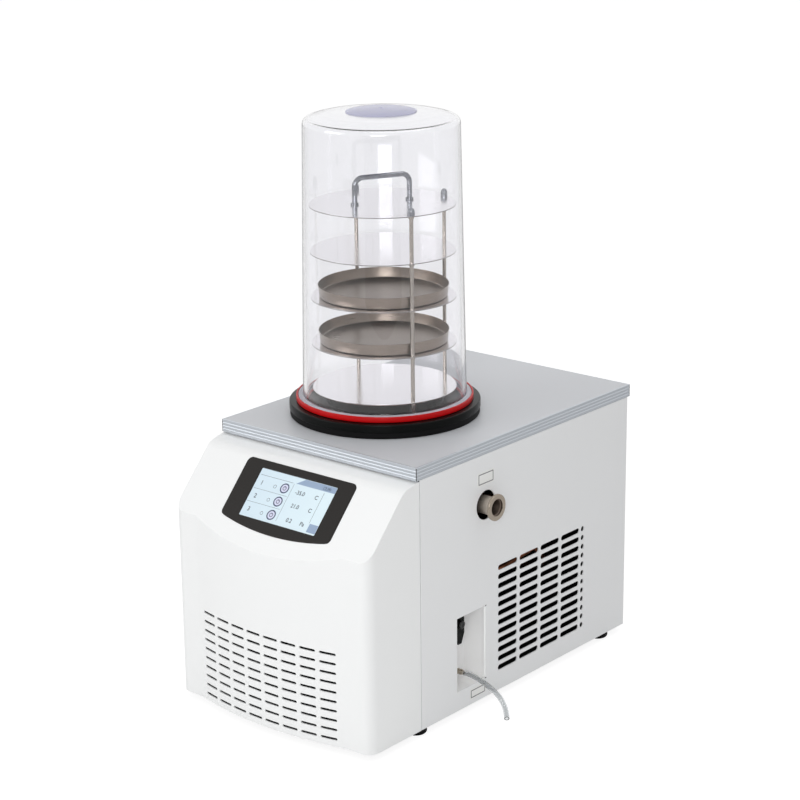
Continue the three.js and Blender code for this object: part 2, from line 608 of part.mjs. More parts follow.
/** One edge trim along +X, its outer face towards -Y, mitred at both ends. */
function trimBar(length) {
  const ledge = -PLATE_THICK - FIT;
  const grooves = [1, 2, 3].flatMap((count) => {
    const z = (-count * TRIM_HEIGHT) / 4;
    return [[0, z + TRIM_GROOVE_HALF], [TRIM_GROOVE, z], [0, z - TRIM_GROOVE_HALF]];
  });
  const base = -TRIM_HEIGHT;
  const section = [
    [0, -TRIM_GROOVE], ...grooves, [0, base], [TRIM_LEDGE, base], [TRIM_LEDGE, base + TRIM_FOLD],
    [TRIM_WALL, base + TRIM_FOLD], [TRIM_WALL, ledge - TRIM_FOLD], [TRIM_LEDGE, ledge - TRIM_FOLD],
    [TRIM_LEDGE, ledge], [TRIM_WALL, ledge], [TRIM_WALL, 0], [TRIM_GROOVE, 0],
  ];
  const geometry = new THREE.ExtrudeGeometry(shapeOf(section), { depth: 1, bevelEnabled: false });
  const position = geometry.attributes.position;
  for (let i = 0; i < position.count; i++) {
    const inward = position.getX(i);
    const end = (position.getZ(i) * 2 - 1) * (length / 2 - inward - FIT / 2);
    position.setXYZ(i, end, inward, position.getY(i));
  }
  return geometry;
}

function addWorktop() {
  const sides = [
    ["front_trim", CABINET_WIDTH, 0, CABINET_DEPTH / 2],
    ["right_trim", CABINET_DEPTH, 1, SIDE],
    ["rear_trim", CABINET_WIDTH, 2, CABINET_DEPTH / 2],
    ["left_trim", CABINET_DEPTH, 3, SIDE],
  ];
  for (const [name, length, quarter, reach] of sides) {
    const bar = trimBar(length).translate(0, -reach, TOP).rotateZ((quarter * Math.PI) / 2);
    piece(name, solid(bar), "aluminium");
  }
  const margin = TRIM_WALL + FIT;
  piece("worktop", cut(
    box([-SIDE + margin, FRONT + margin, TOP - PLATE_THICK], [SIDE - margin, REAR - margin, TOP]),
    ring(TRAP_OUTER + WELL_GAP, 0, TOP - CUT, TOP + CUT, [...CHAMBER, 0], { segments: BIG_ROUND }),
  ), "grey_plate");
}

// ---------- Chamber ----------
const ROUND = { segments: BIG_ROUND };

/** A function that gives the point at a distance past an end, along the line that reaches it. */
function beyond(before, end) {
  const from = new THREE.Vector3(...end);
  const direction = new THREE.Vector3(...end).sub(new THREE.Vector3(...before)).normalize();
  return (distance) => from.clone().addScaledVector(direction, distance).toArray();
}

function addCollar() {
  const at = [...CHAMBER, TOP];
  const gasket = ring(GASKET_RADIUS, TRAP_OUTER + WELL_GAP, FIT, GASKET_HEIGHT, at, ROUND);
  piece("base_gasket", gasket, "black_rubber");
  const seat = GASKET_HEIGHT + FIT;
  const recess = seat + TRAP_WALL + FIT;
  piece("collar", turned([
    [COLLAR_BORE, recess], [TRAP_FLANGE + FIT, recess], [TRAP_FLANGE + FIT, seat],
    [COLLAR_RADIUS - 0.8, seat], [COLLAR_RADIUS, seat + 1], [COLLAR_RADIUS, COLLAR_TOP - COLLAR_EDGE],
    [COLLAR_RADIUS - COLLAR_EDGE, COLLAR_TOP], [COLLAR_BORE, COLLAR_TOP], [COLLAR_BORE, recess],
  ], at, ROUND), "black_plastic");
  const low = SEAL_LOW - TOP;
  const wallInside = SEAL_RADIUS - SEAL_WALL;
  piece("seal_ring", turned([
    [SEAL_BORE, low], [SEAL_RADIUS - SEAL_EDGE, low], [SEAL_RADIUS, low + SEAL_EDGE],
    [SEAL_RADIUS, SEAL_TOP - SEAL_EDGE], [SEAL_RADIUS - SEAL_EDGE, SEAL_TOP], [wallInside, SEAL_TOP],
    [wallInside, low + SEAL_FLOOR], [SEAL_BORE, low + SEAL_FLOOR], [SEAL_BORE, low],
  ], at, ROUND), "red_silicone");
}

function addBell() {
  const shoulder = BELL_HEIGHT - BELL_DOME;
  const quarter = Math.PI / 2;
  const rise = BELL_DOME - BELL_BOSS_HEIGHT;
  const outside = [
    [BELL_FLANGE, 0], [BELL_FLANGE, BELL_FOOT - BELL_EDGE], [BELL_FLANGE - BELL_EDGE, BELL_FOOT],
    [BELL_FOOT_RADIUS + BELL_EDGE, BELL_FOOT], [BELL_FOOT_RADIUS, BELL_FOOT + 2],
    ...arc([BELL_HEAD_RADIUS - BELL_SHOULDER, shoulder - BELL_SHOULDER], BELL_SHOULDER, 0, quarter * 0.95, 4),
    [(BELL_HEAD_RADIUS + BELL_BOSS_RADIUS) / 2, shoulder + rise * 0.6],
    [BELL_BOSS_RADIUS + 1, shoulder + rise * 0.9],
    [BELL_BOSS_RADIUS, BELL_HEIGHT - BELL_BOSS_HEIGHT + 1], [BELL_BOSS_RADIUS - 1, BELL_HEIGHT - 1.6],
    [BELL_BOSS_RADIUS - 3, BELL_HEIGHT - 1], [0, BELL_HEIGHT],
  ];
  const inner = BELL_HEAD_RADIUS - BELL_WALL;
  const inside = [
    [0, BELL_HEIGHT - BELL_BOSS_HEIGHT - BELL_WALL], [BELL_BOSS_RADIUS, shoulder + rise * 0.7 - BELL_WALL],
    ...arc([inner - BELL_SHOULDER, shoulder - BELL_WALL - BELL_SHOULDER], BELL_SHOULDER, quarter * 0.95, 0, 3),
    [BELL_FOOT_RADIUS - BELL_WALL, 0],
  ];
  const jar = turned([...outside, ...inside, outside[0]], [...CHAMBER, BELL_LOW], ROUND);
  piece("bell_jar", jar, "clear_acrylic");
}

function addColdTrap() {
  const at = [...CHAMBER, COLLAR_SEAT];
  const drain = 6; // radius of the drain in its floor
  const corner = 6;
  const floor = -TRAP_DEPTH + TRAP_WALL;
  const vessel = turned([
    [TRAP_RADIUS, TRAP_WALL], [TRAP_FLANGE, TRAP_WALL], [TRAP_FLANGE, 0], [TRAP_OUTER, 0],
    [TRAP_OUTER, -TRAP_DEPTH + corner], [TRAP_OUTER - corner, -TRAP_DEPTH], [drain, -TRAP_DEPTH],
    [drain, floor], [TRAP_RADIUS - corner + 1, floor], [TRAP_RADIUS, floor + corner - 1],
    [TRAP_RADIUS, TRAP_WALL],
  ], at, ROUND);
  const portWay = (radius) => ring(radius, 0, CHAMBER[0], SIDE, [0, ...PORT], { axis: "x", segments: 20 });
  piece("cold_trap", cut(vessel, portWay(PORT_BORE)), "stainless");

  // The coil comes in through the foam, winds up round the vessel, and leaves through the foam again.
  const coilLow = TRAP_LOW + 2 * COIL_WIRE;
  const coilHigh = coilLow + COIL_TURNS * COIL_PITCH;
  const coilTurn = 2 * Math.PI * COIL_TURNS;
  const inFoam = FOAM_BORE + 6;
  const outside = FOAM_RADIUS + 6;
  const spot = (angle, radius, z) =>
    [CHAMBER[0] + radius * Math.cos(Math.PI + angle), CHAMBER[1] + radius * Math.sin(Math.PI + angle), z];
  const coilPoints = [spot(-0.6, outside, coilLow), spot(-0.3, inFoam, coilLow)];
  for (let i = 0; i <= COIL_TURNS * COIL_STEPS; i++) {
    const share = i / (COIL_TURNS * COIL_STEPS);
    coilPoints.push(spot(coilTurn * share, COIL_CIRCLE, coilLow + share * (coilHigh - coilLow)));
  }
  coilPoints.push(spot(coilTurn + 0.3, inFoam, coilHigh), spot(coilTurn + 0.6, outside, coilHigh));
  const coilSteps = COIL_TURNS * COIL_STEPS + 12;
  piece("evaporator_coil", tube(coilPoints, COIL_WIRE, { steps: coilSteps }), "copper");

  const foam = turned([
    [drain + 3, FOAM_LOW], [FOAM_RADIUS, FOAM_LOW], [FOAM_RADIUS, TOP - PLATE_THICK - FIT],
    [FOAM_BORE, TOP - PLATE_THICK - FIT], [FOAM_BORE, TRAP_LOW - FIT],
    [drain + 3, TRAP_LOW - FIT], [drain + 3, FOAM_LOW],
  ], [...CHAMBER, 0], ROUND);
  const tailWays = tube(coilPoints, COIL_WIRE + 0.45, { steps: coilSteps });
  piece("trap_insulation", cut(foam, portWay(PORT_TUBE + 0.6), tailWays), "black_foam");

  // The flange has a conical back, and a shallow step in its bore for the hose's centring ring.
  const face = SIDE + PORT_REACH;
  const step = PORT_BORE + PORT_STEP;
  const port = turned([
    [PORT_BORE, 0], [PORT_TUBE, 0], [PORT_TUBE, face - PORT_FLANGE_THICK], [PORT_FLANGE, face - PORT_RIM],
    [PORT_FLANGE, face - 0.5], [PORT_FLANGE - 0.5, face], [step, face],
    [step, face - 3], [PORT_BORE, face - 3.6], [PORT_BORE, 0],
  ], [0, ...PORT], { axis: "x", segments: 24 });
  const trapBulk = ring(TRAP_OUTER + FIT, 0, -TRAP_DEPTH - CUT, CUT, at, ROUND);
  piece("suction_port", cut(port, trapBulk), "stainless");
  return {
    inlet: beyond(coilPoints[1], coilPoints[0]),
    outlet: beyond(coilPoints.at(-2), coilPoints.at(-1)),
  };
}

// ---------- Rack ----------
const shelfHeight = (index) => TOP + SHELF_LOWEST + index * SHELF_PITCH;
const rodSpots = [0, 1, 2].map((i) => {
  const angle = ROD_TURN - Math.PI / 2 + [0, Math.PI / 2, Math.PI][i];
  return [CHAMBER[0] + ROD_CIRCLE * Math.cos(angle), CHAMBER[1] + ROD_CIRCLE * Math.sin(angle)];
});

function addRack() {
  const foot = TOP + COLLAR_TOP + FIT;
  const top = RACK_TOP;
  const names = ["front", "right", "left"];
  rodSpots.forEach((spot, i) => {
    const profile = [[0, foot], [ROD_FOOT, foot], [ROD_FOOT, foot + 4], [ROD_RADIUS, foot + 5]];
    for (let shelf = 0; shelf < SHELF_COUNT; shelf++) {
      const seat = shelfHeight(shelf) - FIT;
      const low = seat - (shelf ? 3 : 9);
      profile.push([ROD_RADIUS, low], [ROD_COLLAR, low], [ROD_COLLAR, seat], [ROD_RADIUS, seat]);
    }
    profile.push([ROD_RADIUS, top + NUT_HEIGHT / 2 + 1], [0, top + NUT_HEIGHT / 2 + 1]);
    piece(`rod_${names[i]}`, turned(profile, [...spot, 0], { segments: 8 }), "stainless");

    const way = ROD_RADIUS + FIT;
    const wayTop = top + NUT_HEIGHT / 2 + 1.5;
    const nut = [
      [way, top + FIT], [NUT_RADIUS, top + FIT], [NUT_RADIUS, top + NUT_HEIGHT / 2],
      [NUT_RADIUS * 0.8, top + 10], [2, top + NUT_HEIGHT], [0, top + NUT_HEIGHT + 0.4],
      [0, wayTop], [way, wayTop], [way, top + FIT],
    ];
    piece(`cap_nut_${names[i]}`, turned(nut, [...spot, 0], { segments: 8 }), "chrome");
  });

  for (let shelf = 0; shelf < SHELF_COUNT; shelf++) {
    const low = shelfHeight(shelf);
    const holes = rodSpots.map((spot) =>
      ring(ROD_RADIUS + FIT, 0, low - CUT, low + CUT, [...spot, 0], { segments: 8 }));
    const disc = ring(SHELF_RADIUS, 0, low, low + SHELF_THICK, [...CHAMBER, 0], { segments: 32 });
    piece(`shelf_${shelf + 1}`, cut(disc, ...holes), "stainless");
  }

  const half = HANDLE_SPAN / 2;
  const corner = HANDLE_CORNER;
  const start = top + FIT;
  const high = start + HANDLE_HEIGHT - HANDLE_TUBE;
  const bent = [
    [-half, start], [-half, start + 12], [-half, high - corner - 4],
    ...arc([-half + corner, high - corner], corner, Math.PI, Math.PI / 2, 4),
    [0, high],
    ...arc([half - corner, high - corner], corner, Math.PI / 2, 0, 4),
    [half, high - corner - 4], [half, start + 12], [half, start],
  ];
  const turnedTo = ([u, z]) =>
    [CHAMBER[0] + u * Math.cos(ROD_TURN), CHAMBER[1] + u * Math.sin(ROD_TURN), z];
  const feet = [-half, half].map((u) => {
    const [x, y] = turnedTo([u, 0]);
    return ring(6, 0, start, start + 3, [x, y, 0], { segments: 8 });
  });
  const bar = tube(bent.map(turnedTo), HANDLE_TUBE, { sides: 8, steps: 20 });
  piece("rack_handle", join(bar, ...feet), "chrome");

  TRAY_SHELVES.forEach((shelf, i) => {
    const low = shelfHeight(shelf) + SHELF_THICK + FIT;
    const base = TRAY_RADIUS - TRAY_TAPER;
    const corner = 3;
    const step = TRAY_WALL * 0.4;
    const profile = [
      [0, 0], [base - corner, 0], [base, corner], [TRAY_RADIUS, TRAY_HEIGHT],
      [TRAY_RADIUS - TRAY_WALL, TRAY_HEIGHT], [base - TRAY_WALL, corner + step],
      [base - corner - step, TRAY_WALL], [0, TRAY_WALL],
    ];
    piece(`tray_${i + 1}`, turned(profile, [...CHAMBER, low], { segments: 32 }), "stainless");
  });
}

// ---------- Valves on the right-hand side ----------
/** A blank label plate on the side panel, measured from the place that it belongs to. */
function label(name, spec, [fromY, fromZ]) {
  const y = fromY + spec.behind;
  const z = fromZ + spec.above;
  const at = SIDE + LABEL_GLUE;
  piece(name, box([at, y - spec.width / 2, z - spec.height / 2],
    [at + LABEL_THICK, y + spec.width / 2, z + spec.height / 2]), "label_film");
}

function addValves() {
  label("port_label", PORT_LABEL, PORT);
  label("valve_label", RECESS_LABEL, [RECESS_Y, RECESS_LOW]);

  const halfWidth = RECESS_WIDTH / 2;
  const low = RECESS_LOW;
  const high = RECESS_LOW + RECESS_HEIGHT;
  const wall = 1.2;
  const rim = 8; // the rim that is welded behind the side panel
  const face = SIDE - SHEET - FIT;
  const span = (x0, x1, grow, growDown = grow) =>
    box([x0, RECESS_Y - halfWidth - grow, low - growDown], [x1, RECESS_Y + halfWidth + grow, high + grow]);
  const tray = cut(
    join(span(RECESS_BACK - wall, face, wall), span(face - wall, face, rim, rim - 3)),
    span(RECESS_BACK, SIDE + CUT, 0),
  );
  const round = { axis: "x", segments: 12 };
  const hole = (z) =>
    ring(VALVE_SHANK + 2 * FIT, 0, RECESS_BACK - CUT, RECESS_BACK + CUT, [0, RECESS_Y, z], round);
  piece("valve_recess", cut(tray, hole(LEVER_HEIGHT), hole(BARB_HEIGHT)), "white_enamel");

  const lever = SIDE - LEVER_SET;
  const back = RECESS_BACK + FIT;
  const pivot = [0, RECESS_Y, LEVER_HEIGHT];
  const stub = RECESS_BACK - 9;
  piece("vent_valve", turned([
    [0, stub], [VALVE_SHANK, stub], [VALVE_SHANK, back], [9.5, back], [9.5, back + 7], [8, back + 8],
    [8, lever - 3], [STEM_RADIUS, lever - 3], [STEM_RADIUS, lever + LEVER_THICK + 3],
    [0, lever + LEVER_THICK + 3],
  ], pivot, round), "brass");

  const outline = [
    ...arc([LEVER_HALF - LEVER_ROUND, LEVER_TOP - LEVER_ROUND], LEVER_ROUND, 0, Math.PI / 2, 3),
    ...arc([LEVER_ROUND - LEVER_HALF, LEVER_TOP - LEVER_ROUND], LEVER_ROUND, Math.PI / 2, Math.PI, 3),
    [-LEVER_HALF, -(LEVER_LENGTH - LEVER_TAPER)], [-LEVER_TIP - 0.5, -LEVER_LENGTH + 1.5],
    [-LEVER_TIP + 1, -LEVER_LENGTH], [LEVER_TIP - 1, -LEVER_LENGTH],
    [LEVER_TIP + 0.5, -LEVER_LENGTH + 1.5], [LEVER_HALF, -(LEVER_LENGTH - LEVER_TAPER)],
  ];
  const arm = prism(outline, LEVER_THICK, [lever, RECESS_Y, LEVER_HEIGHT]);
  const stemWay = (x0, x1) => ring(STEM_RADIUS + FIT, 0, x0, x1, pivot, round);
  piece("vent_lever", cut(arm, stemWay(lever - CUT, lever + LEVER_THICK + CUT)), "black_plastic");
  const nutLow = lever + LEVER_THICK + FIT;
  const nut = turned([[0, nutLow], [6.5, nutLow], [6.5, nutLow + 4], [5, nutLow + 5], [0, nutLow + 5]],
    pivot, { axis: "x", segments: 6 });
  piece("lever_nut", cut(nut, stemWay(nutLow - CUT, nutLow + 3.2)), "chrome");

  const tip = RECESS_BACK + BARB_REACH;
  piece("drain_barb", turned([
    [0, stub], [VALVE_SHANK, stub], [VALVE_SHANK, back], [8, back], [8, back + 6], [3.6, back + 7],
    [3.6, tip - 12], [4.6, tip - 12], [3.4, tip - 7], [4.6, tip - 7], [3.2, tip - 1], [3, tip], [0, tip],
  ], [0, RECESS_Y, BARB_HEIGHT], round), "brass");

  const drop = [CHAMBER[0], CHAMBER[1], TRAP_LOW - FIT];
  const end = stub - FIT;
  const bend = TRAP_LOW - 45;
  const fork = [end - 80.7, RECESS_Y + 20, LEVER_HEIGHT - 26]; // the vent line branches off here
  const drainLine = tube([
    drop, [drop[0], drop[1], bend + 10], [drop[0] + 15, drop[1] - 5, bend - 15], fork,
    [end - 40.7, RECESS_Y, BARB_HEIGHT + 6], [end - 25.7, RECESS_Y, BARB_HEIGHT],
    [end, RECESS_Y, BARB_HEIGHT],
  ], PIPE_RADIUS, { steps: 16 });
  const ventLine = tube([
    fork, [end - 55.7, RECESS_Y + 6, LEVER_HEIGHT - 8], [end - 30.7, RECESS_Y, LEVER_HEIGHT],
    [end, RECESS_Y, LEVER_HEIGHT],
  ], PIPE_RADIUS, { steps: 7 });
  piece("drain_pipe", join(drainLine, ventLine), "copper");

  // The hose leaves the barb, bends over the side's edge and reaches the floor.
  const x = SIDE;
  piece("drain_hose", tube([
    [tip + FIT, RECESS_Y, BARB_HEIGHT], [x - 2.5, RECESS_Y - 0.5, 58.9], [x + 16.3, RECESS_Y - 1, 55.7],
    [x + 33.3, RECESS_Y - 1.6, 50.4], [x + 50, RECESS_Y - 2.2, 42.6], [x + 61.5, RECESS_Y - 2.8, 32],
    [x + 68, RECESS_Y - 3.4, 20], [x + 70.3, RECESS_Y - 4, 8.8], [x + 70.6, RECESS_Y - 4.2, 4.6],
  ], HOSE_RADIUS, { sides: 8, steps: 12 }), "clear_hose");
}

// ---------- Machinery inside ----------
/** @param coil gives the points beyond the coil's inlet and outlet, as functions of the distance. */
function addRefrigeration(coil) {
  const front = FRONT - CONDENSER.reach;
  const halfWidth = CONDENSER.width / 2;
  const low = PAN_TOP + FIT;
  const high = low + CONDENSER.height;
  const face = front - CONDENSER.depth;
  const fins = [];
  for (let x = -halfWidth + 18; x < halfWidth - 16; x += 18)
    fins.push(box([x, face - CUT, low + 4], [x + 9, face + 10, high - 4]));
  const block = cut(box([-halfWidth, face, low], [halfWidth, front, high]), ...fins);
  const middle = front - CONDENSER.depth / 2;
  const ends = [low + 20, high - 20];
  const stubEnd = halfWidth + 8;
  const stubs = ends.map((z, i) => {
    const [from, to] = i ? [0, stubEnd] : [-stubEnd, 0];
    return ring(5, 0, from, to, [0, middle, z], { axis: "x", segments: 8 });
  });
  piece("condenser", join(block, ...stubs), "aluminium");

  const round = { axis: "y", segments: 24 };
  const fanAt = [0, 0, FAN_HEIGHT];
  const bladeBack = FAN_FRONT + 45;
  const shroudPlate = box([-halfWidth * 0.7, FAN_FRONT, low], [halfWidth * 0.7, FAN_FRONT + 2, high]);
  const collarWall = ring(FAN_RADIUS + 6, 0, FAN_FRONT, FAN_FRONT + 14, fanAt, round);
  const way = ring(FAN_RADIUS + 4, 0, FAN_FRONT - CUT, FAN_FRONT + 14 + CUT, fanAt, round);
  piece("fan_shroud", cut(join(shroudPlate, collarWall), way), "galvanised");

  const hubLow = FAN_FRONT + 14;
  const motorLow = bladeBack + 4;
  const motor = ring(MOTOR_RADIUS, 0, motorLow, motorLow + 36, fanAt, { axis: "y", segments: 20 });
  const shaft = ring(3, 0, hubLow + 6, motorLow + 2, fanAt, { axis: "y", segments: 12 });
  const post = box([-MOTOR_RADIUS * 0.7, motorLow + 8, low], [MOTOR_RADIUS * 0.7, motorLow + 11, FAN_HEIGHT]);
  const base = box([-MOTOR_RADIUS * 0.7, motorLow + 8, low], [MOTOR_RADIUS * 0.7, motorLow + 32, low + 3]);
  piece("fan_motor", join(motor, shaft, post, base), "black_plastic");

  const hub = turned([
    [0, hubLow], [14, hubLow], [18, hubLow + 4], [18, bladeBack], [3 + FIT, bladeBack], [3 + FIT, hubLow + 5],
    [0, hubLow + 5],
  ], fanAt, { axis: "y", segments: 16 });
  const blades = [0, 1, 2, 3, 4].map((i) => {
    const blade = new THREE.BoxGeometry(40, 1.8, FAN_RADIUS - 14);
    blade.translate(0, 0, (FAN_RADIUS + 14) / 2);
    blade.rotateZ(THREE.MathUtils.degToRad(28));
    blade.rotateY((i * 2 * Math.PI) / 5);
    return solid(blade.translate(0, (hubLow + bladeBack) / 2 + 1, FAN_HEIGHT));
  });
  piece("fan_blade", join(hub, ...blades), "black_plastic");

  const { x, radius, height } = COMPRESSOR;
  const y = REAR - COMPRESSOR.fromRear;
  const can = turned([
    [0, low + 14], [radius * 0.7, low + 14], [radius * 0.93, low + 24], [radius, low + 36],
    [radius, height - 34], [radius * 0.93, height - 18], [radius * 0.65, height - 4], [0, height],
  ], [x, y, 0], { segments: 20 });
  const footPlate = box([x - 88, y - 50, low + 9], [x + 88, y + 50, low + 16]);
  const grommets = [[-78, -38], [78, -38], [-78, 38], [78, 38]]
    .map(([dx, dy]) => ring(9, 0, low, low + 20, [x + dx, y + dy, 0], { segments: 8 }));
  const stubTop = ring(5, 0, height - 12, height + 12, [x + 30, y - 20, 0], { segments: 8 });
  const stubSide = ring(6, 0, x + radius - 10, x + radius + 12, [0, y, 120], { axis: "x", segments: 8 });
  piece("compressor", join(can, footPlate, ...grommets, stubTop, stubSide), "black_enamel");

  const run = SIDE - 26; // pipes run along the right-hand side
  const outlet = stubEnd + PIPE_GAP;
  piece("discharge_pipe", tube([
    [x + 30, y - 20, height + 12 + PIPE_GAP], [x + 30, y - 20, height + 26], [x + 60, y - 30, height + 56],
    [run - 50, y - 40, height + 62], [run, y - 76, height + 36], [run, RECESS_Y, height + 6],
    [run, FRONT - 20, ends[1] + 6], [run - 12, middle, ends[1]], [outlet, middle, ends[1]],
  ], PIPE_RADIUS, { steps: 26 }), "copper");
  piece("suction_pipe", tube([
    coil.outlet(PIPE_GAP), coil.outlet(14), [run - 47, 40, 258], [run - 45, y - 55, 190],
    [run - 47, y - 10, 140], [x + radius + 50, y, 121], [x + radius + 12 + PIPE_GAP, y, 120],
  ], 5, { steps: 14 }), "copper");
  const left = -SIDE + 26;
  const drierAt = [left, FRONT + 70, 70];
  const drier = turned([[0, -48], [5, -44], [12, -34], [12, 34], [5, 44], [0, 48]], drierAt,
    { axis: "y", segments: 8 });
  const lineIn = tube([
    [-outlet, middle, ends[0]], [-outlet - 14, middle, ends[0]], [left, middle + 24, ends[0] + 16],
    [left, drierAt[1] - 80, 68], [left, drierAt[1] - 40, 70],
  ], PIPE_RADIUS, { steps: 14 });
  const lineOut = tube([
    [left, drierAt[1] + 40, 70], [left, drierAt[1] + 90, 90], [left + 4, 0, 150], [left + 16, 36, 210],
    coil.inlet(18), coil.inlet(PIPE_GAP),
  ], PIPE_RADIUS, { steps: 14 });
  piece("liquid_line", join(drier, lineIn, lineOut), "copper");
}

// ---------- Mains inlet with its switch, on the rear panel ----------
const ROCKER = { width: 18, height: 20, low: 36 };

function addPower() {
  const x = -SIDE + INLET.fromSide;
  const low = INLET.low;
  const face = REAR_FACE + FIT;
  const nose = face + INLET.plate;
  const flange = box([x - INLET.width / 2, face, low], [x + INLET.width / 2, nose, low + INLET.height]);
  const inside = INLET.rim + FIT;
  const body = box([x - INLET.width / 2 + inside, REAR_FACE - INLET.depth, low + inside],
    [x + INLET.width / 2 - inside, face + 1, low + INLET.height - inside]);
  const socket = box([x - 10, REAR_FACE - 18, low + 7], [x + 10, face + CUT, low + 29]);
  const rockerWell = box([x - ROCKER.width / 2 - FIT, REAR_FACE - 14, low + ROCKER.low - 1],
    [x + ROCKER.width / 2 + FIT, face + CUT, low + ROCKER.low + ROCKER.height + 1]);
  const pins = [[-5, 14], [5, 14], [0, 22]].map(([dx, dz]) =>
    box([x + dx - 1.2, REAR_FACE - 19, low + dz - 2.5], [x + dx + 1.2, REAR_FACE - 13, low + dz + 2.5]));
  piece("power_inlet", join(cut(join(flange, body), socket, rockerWell), ...pins), "black_plastic");

  const middle = low + ROCKER.low + ROCKER.height / 2;
  const half = ROCKER.height / 2 - ROCKER_TILT_GAP;
  const outline = [[REAR_FACE - 7, -half * 0.45], [nose - 1, -half], [nose + 2.6, -half], [nose + 0.6, 0],
    [nose + 0.6, half], [nose - 3, half], [REAR_FACE - 7, half * 0.45]];
  piece("power_switch", prism(outline, ROCKER.width, [x - ROCKER.width / 2, 0, middle]), "black_plastic");
}

addFront();
addPanels();
addFeet();
addWorktop();
addCollar();
addBell();
const coilEnds = addColdTrap();
addRack();
addValves();
addRefrigeration(coilEnds);
addPower();

// The origin: the middle of the box's base. The port stands out on the right, the cover in front.
group.position.set(-PORT_REACH / 2, (COVER_REACH + COVER_BOW) / 2, 0);

export default group;
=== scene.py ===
# %% [markdown]
# # A bench-top freeze dryer
# The machine is a white cabinet with a cold trap in its top. A clear bell jar stands over a rack of trays.
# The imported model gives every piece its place, so each new piece here is measured from it, in metres.

# %% Load the frame
import math

import bmesh
import bpy
from mathutils import Matrix, Vector


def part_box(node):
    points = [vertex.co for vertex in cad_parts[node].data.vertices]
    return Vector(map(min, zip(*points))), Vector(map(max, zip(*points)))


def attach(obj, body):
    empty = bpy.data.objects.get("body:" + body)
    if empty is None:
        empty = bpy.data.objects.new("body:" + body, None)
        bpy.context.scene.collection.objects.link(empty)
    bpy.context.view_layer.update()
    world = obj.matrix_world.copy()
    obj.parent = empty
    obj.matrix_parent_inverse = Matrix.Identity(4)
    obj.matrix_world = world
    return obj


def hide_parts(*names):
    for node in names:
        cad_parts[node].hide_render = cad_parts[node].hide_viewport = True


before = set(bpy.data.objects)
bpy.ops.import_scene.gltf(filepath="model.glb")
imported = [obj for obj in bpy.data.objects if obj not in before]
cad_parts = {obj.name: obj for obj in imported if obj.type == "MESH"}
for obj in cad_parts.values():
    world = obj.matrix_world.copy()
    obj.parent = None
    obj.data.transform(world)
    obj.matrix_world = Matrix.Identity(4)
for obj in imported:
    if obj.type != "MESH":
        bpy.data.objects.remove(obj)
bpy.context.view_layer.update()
scene = bpy.context.scene
scene.view_settings.view_transform = "Standard"
print("cabinet pieces:", len(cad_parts))

# %% [markdown]
# A maker's drawing is in millimetres and Blender works in metres, so lengths are written as mm(…). The
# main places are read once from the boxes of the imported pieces, so that nothing is measured twice.

# %% Main places
def mm(*lengths):
    """Millimetres to metres: one number, or a vector of three."""
    return lengths[0] / 1000 if len(lengths) == 1 else Vector(lengths) / 1000


def middle(node):
    low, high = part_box(node)
    return (low + high) / 2


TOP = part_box("worktop")[1].z
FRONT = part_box("front_trim")[0].y
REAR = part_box("rear_trim")[1].y
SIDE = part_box("right_panel")[1].x
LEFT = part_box("left_panel")[0].x
MIDDLE = (LEFT + SIDE) / 2
CHAMBER = middle("bell_jar")
print(f"worktop at {TOP:.3f} m, chamber axis at {CHAMBER.x:.3f}, {CHAMBER.y:.3f}")

# %% [markdown]
# The camera looks down a little from the front right. A target to track could aim it, but a turn, a rise
# and a roll say the view exactly. Its lens is long, so upright edges stay nearly parallel.

# %% Camera
CAMERA_TURN = math.radians(40.19)
CAMERA_RISE = math.radians(16.92)
CAMERA_ROLL = math.radians(-0.66)
CAMERA_DISTANCE = 3.4925
LENS = 100.39

flat = math.cos(CAMERA_RISE)
back = Vector((math.sin(CAMERA_TURN) * flat, -math.cos(CAMERA_TURN) * flat, math.sin(CAMERA_RISE)))
look_point = Vector((MIDDLE, (FRONT + REAR) / 2, TOP)) + mm(-36.7, -30.2, 2.0)
level = Vector((0, 0, 1)).cross(back).normalized()
upright = back.cross(level)
right = level * math.cos(CAMERA_ROLL) + upright * math.sin(CAMERA_ROLL)
up = upright * math.cos(CAMERA_ROLL) - level * math.sin(CAMERA_ROLL)

camera = bpy.data.objects.new("camera", bpy.data.cameras.new("camera"))
camera.data.lens = LENS
camera.data.sensor_width = 36
camera.data.clip_end = 50
turned = Matrix((right, up, back)).transposed().to_4x4()
camera.matrix_world = Matrix.Translation(look_point + back * CAMERA_DISTANCE) @ turned
scene.collection.objects.link(camera)
scene.camera = camera

# %% [markdown]
# The drain hose is clear tube, pushed over the brass barb and bent to the floor by its own weight. A
# screw or skin modifier could sweep it, but a curve with a round bevel keeps its route in a few points.
# It is made mesh and given a wall, so that its open end shows the bore.

# %% Drain hose
HOSE_RADIUS = mm(4)
HOSE_WALL = mm(1.3)
valves_y = middle("drain_barb").y
BARB_HEIGHT = mm(58.5)
LEVER_HEIGHT = mm(136)
hose_start = (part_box("drain_hose")[0].x, valves_y, BARB_HEIGHT)
HOSE_ROUTE = [hose_start] + [(SIDE + mm(out), valves_y - mm(aside), mm(height)) for out, aside, height in (
    (-2.5, 0.5, 58.9), (16.3, 1, 55.7), (33.3, 1.6, 50.4), (50, 2.2, 42.6),
    (61.5, 2.8, 32), (68, 3.4, 20), (70.3, 4, 8.8), (70.6, 4.2, 4.6),
)]


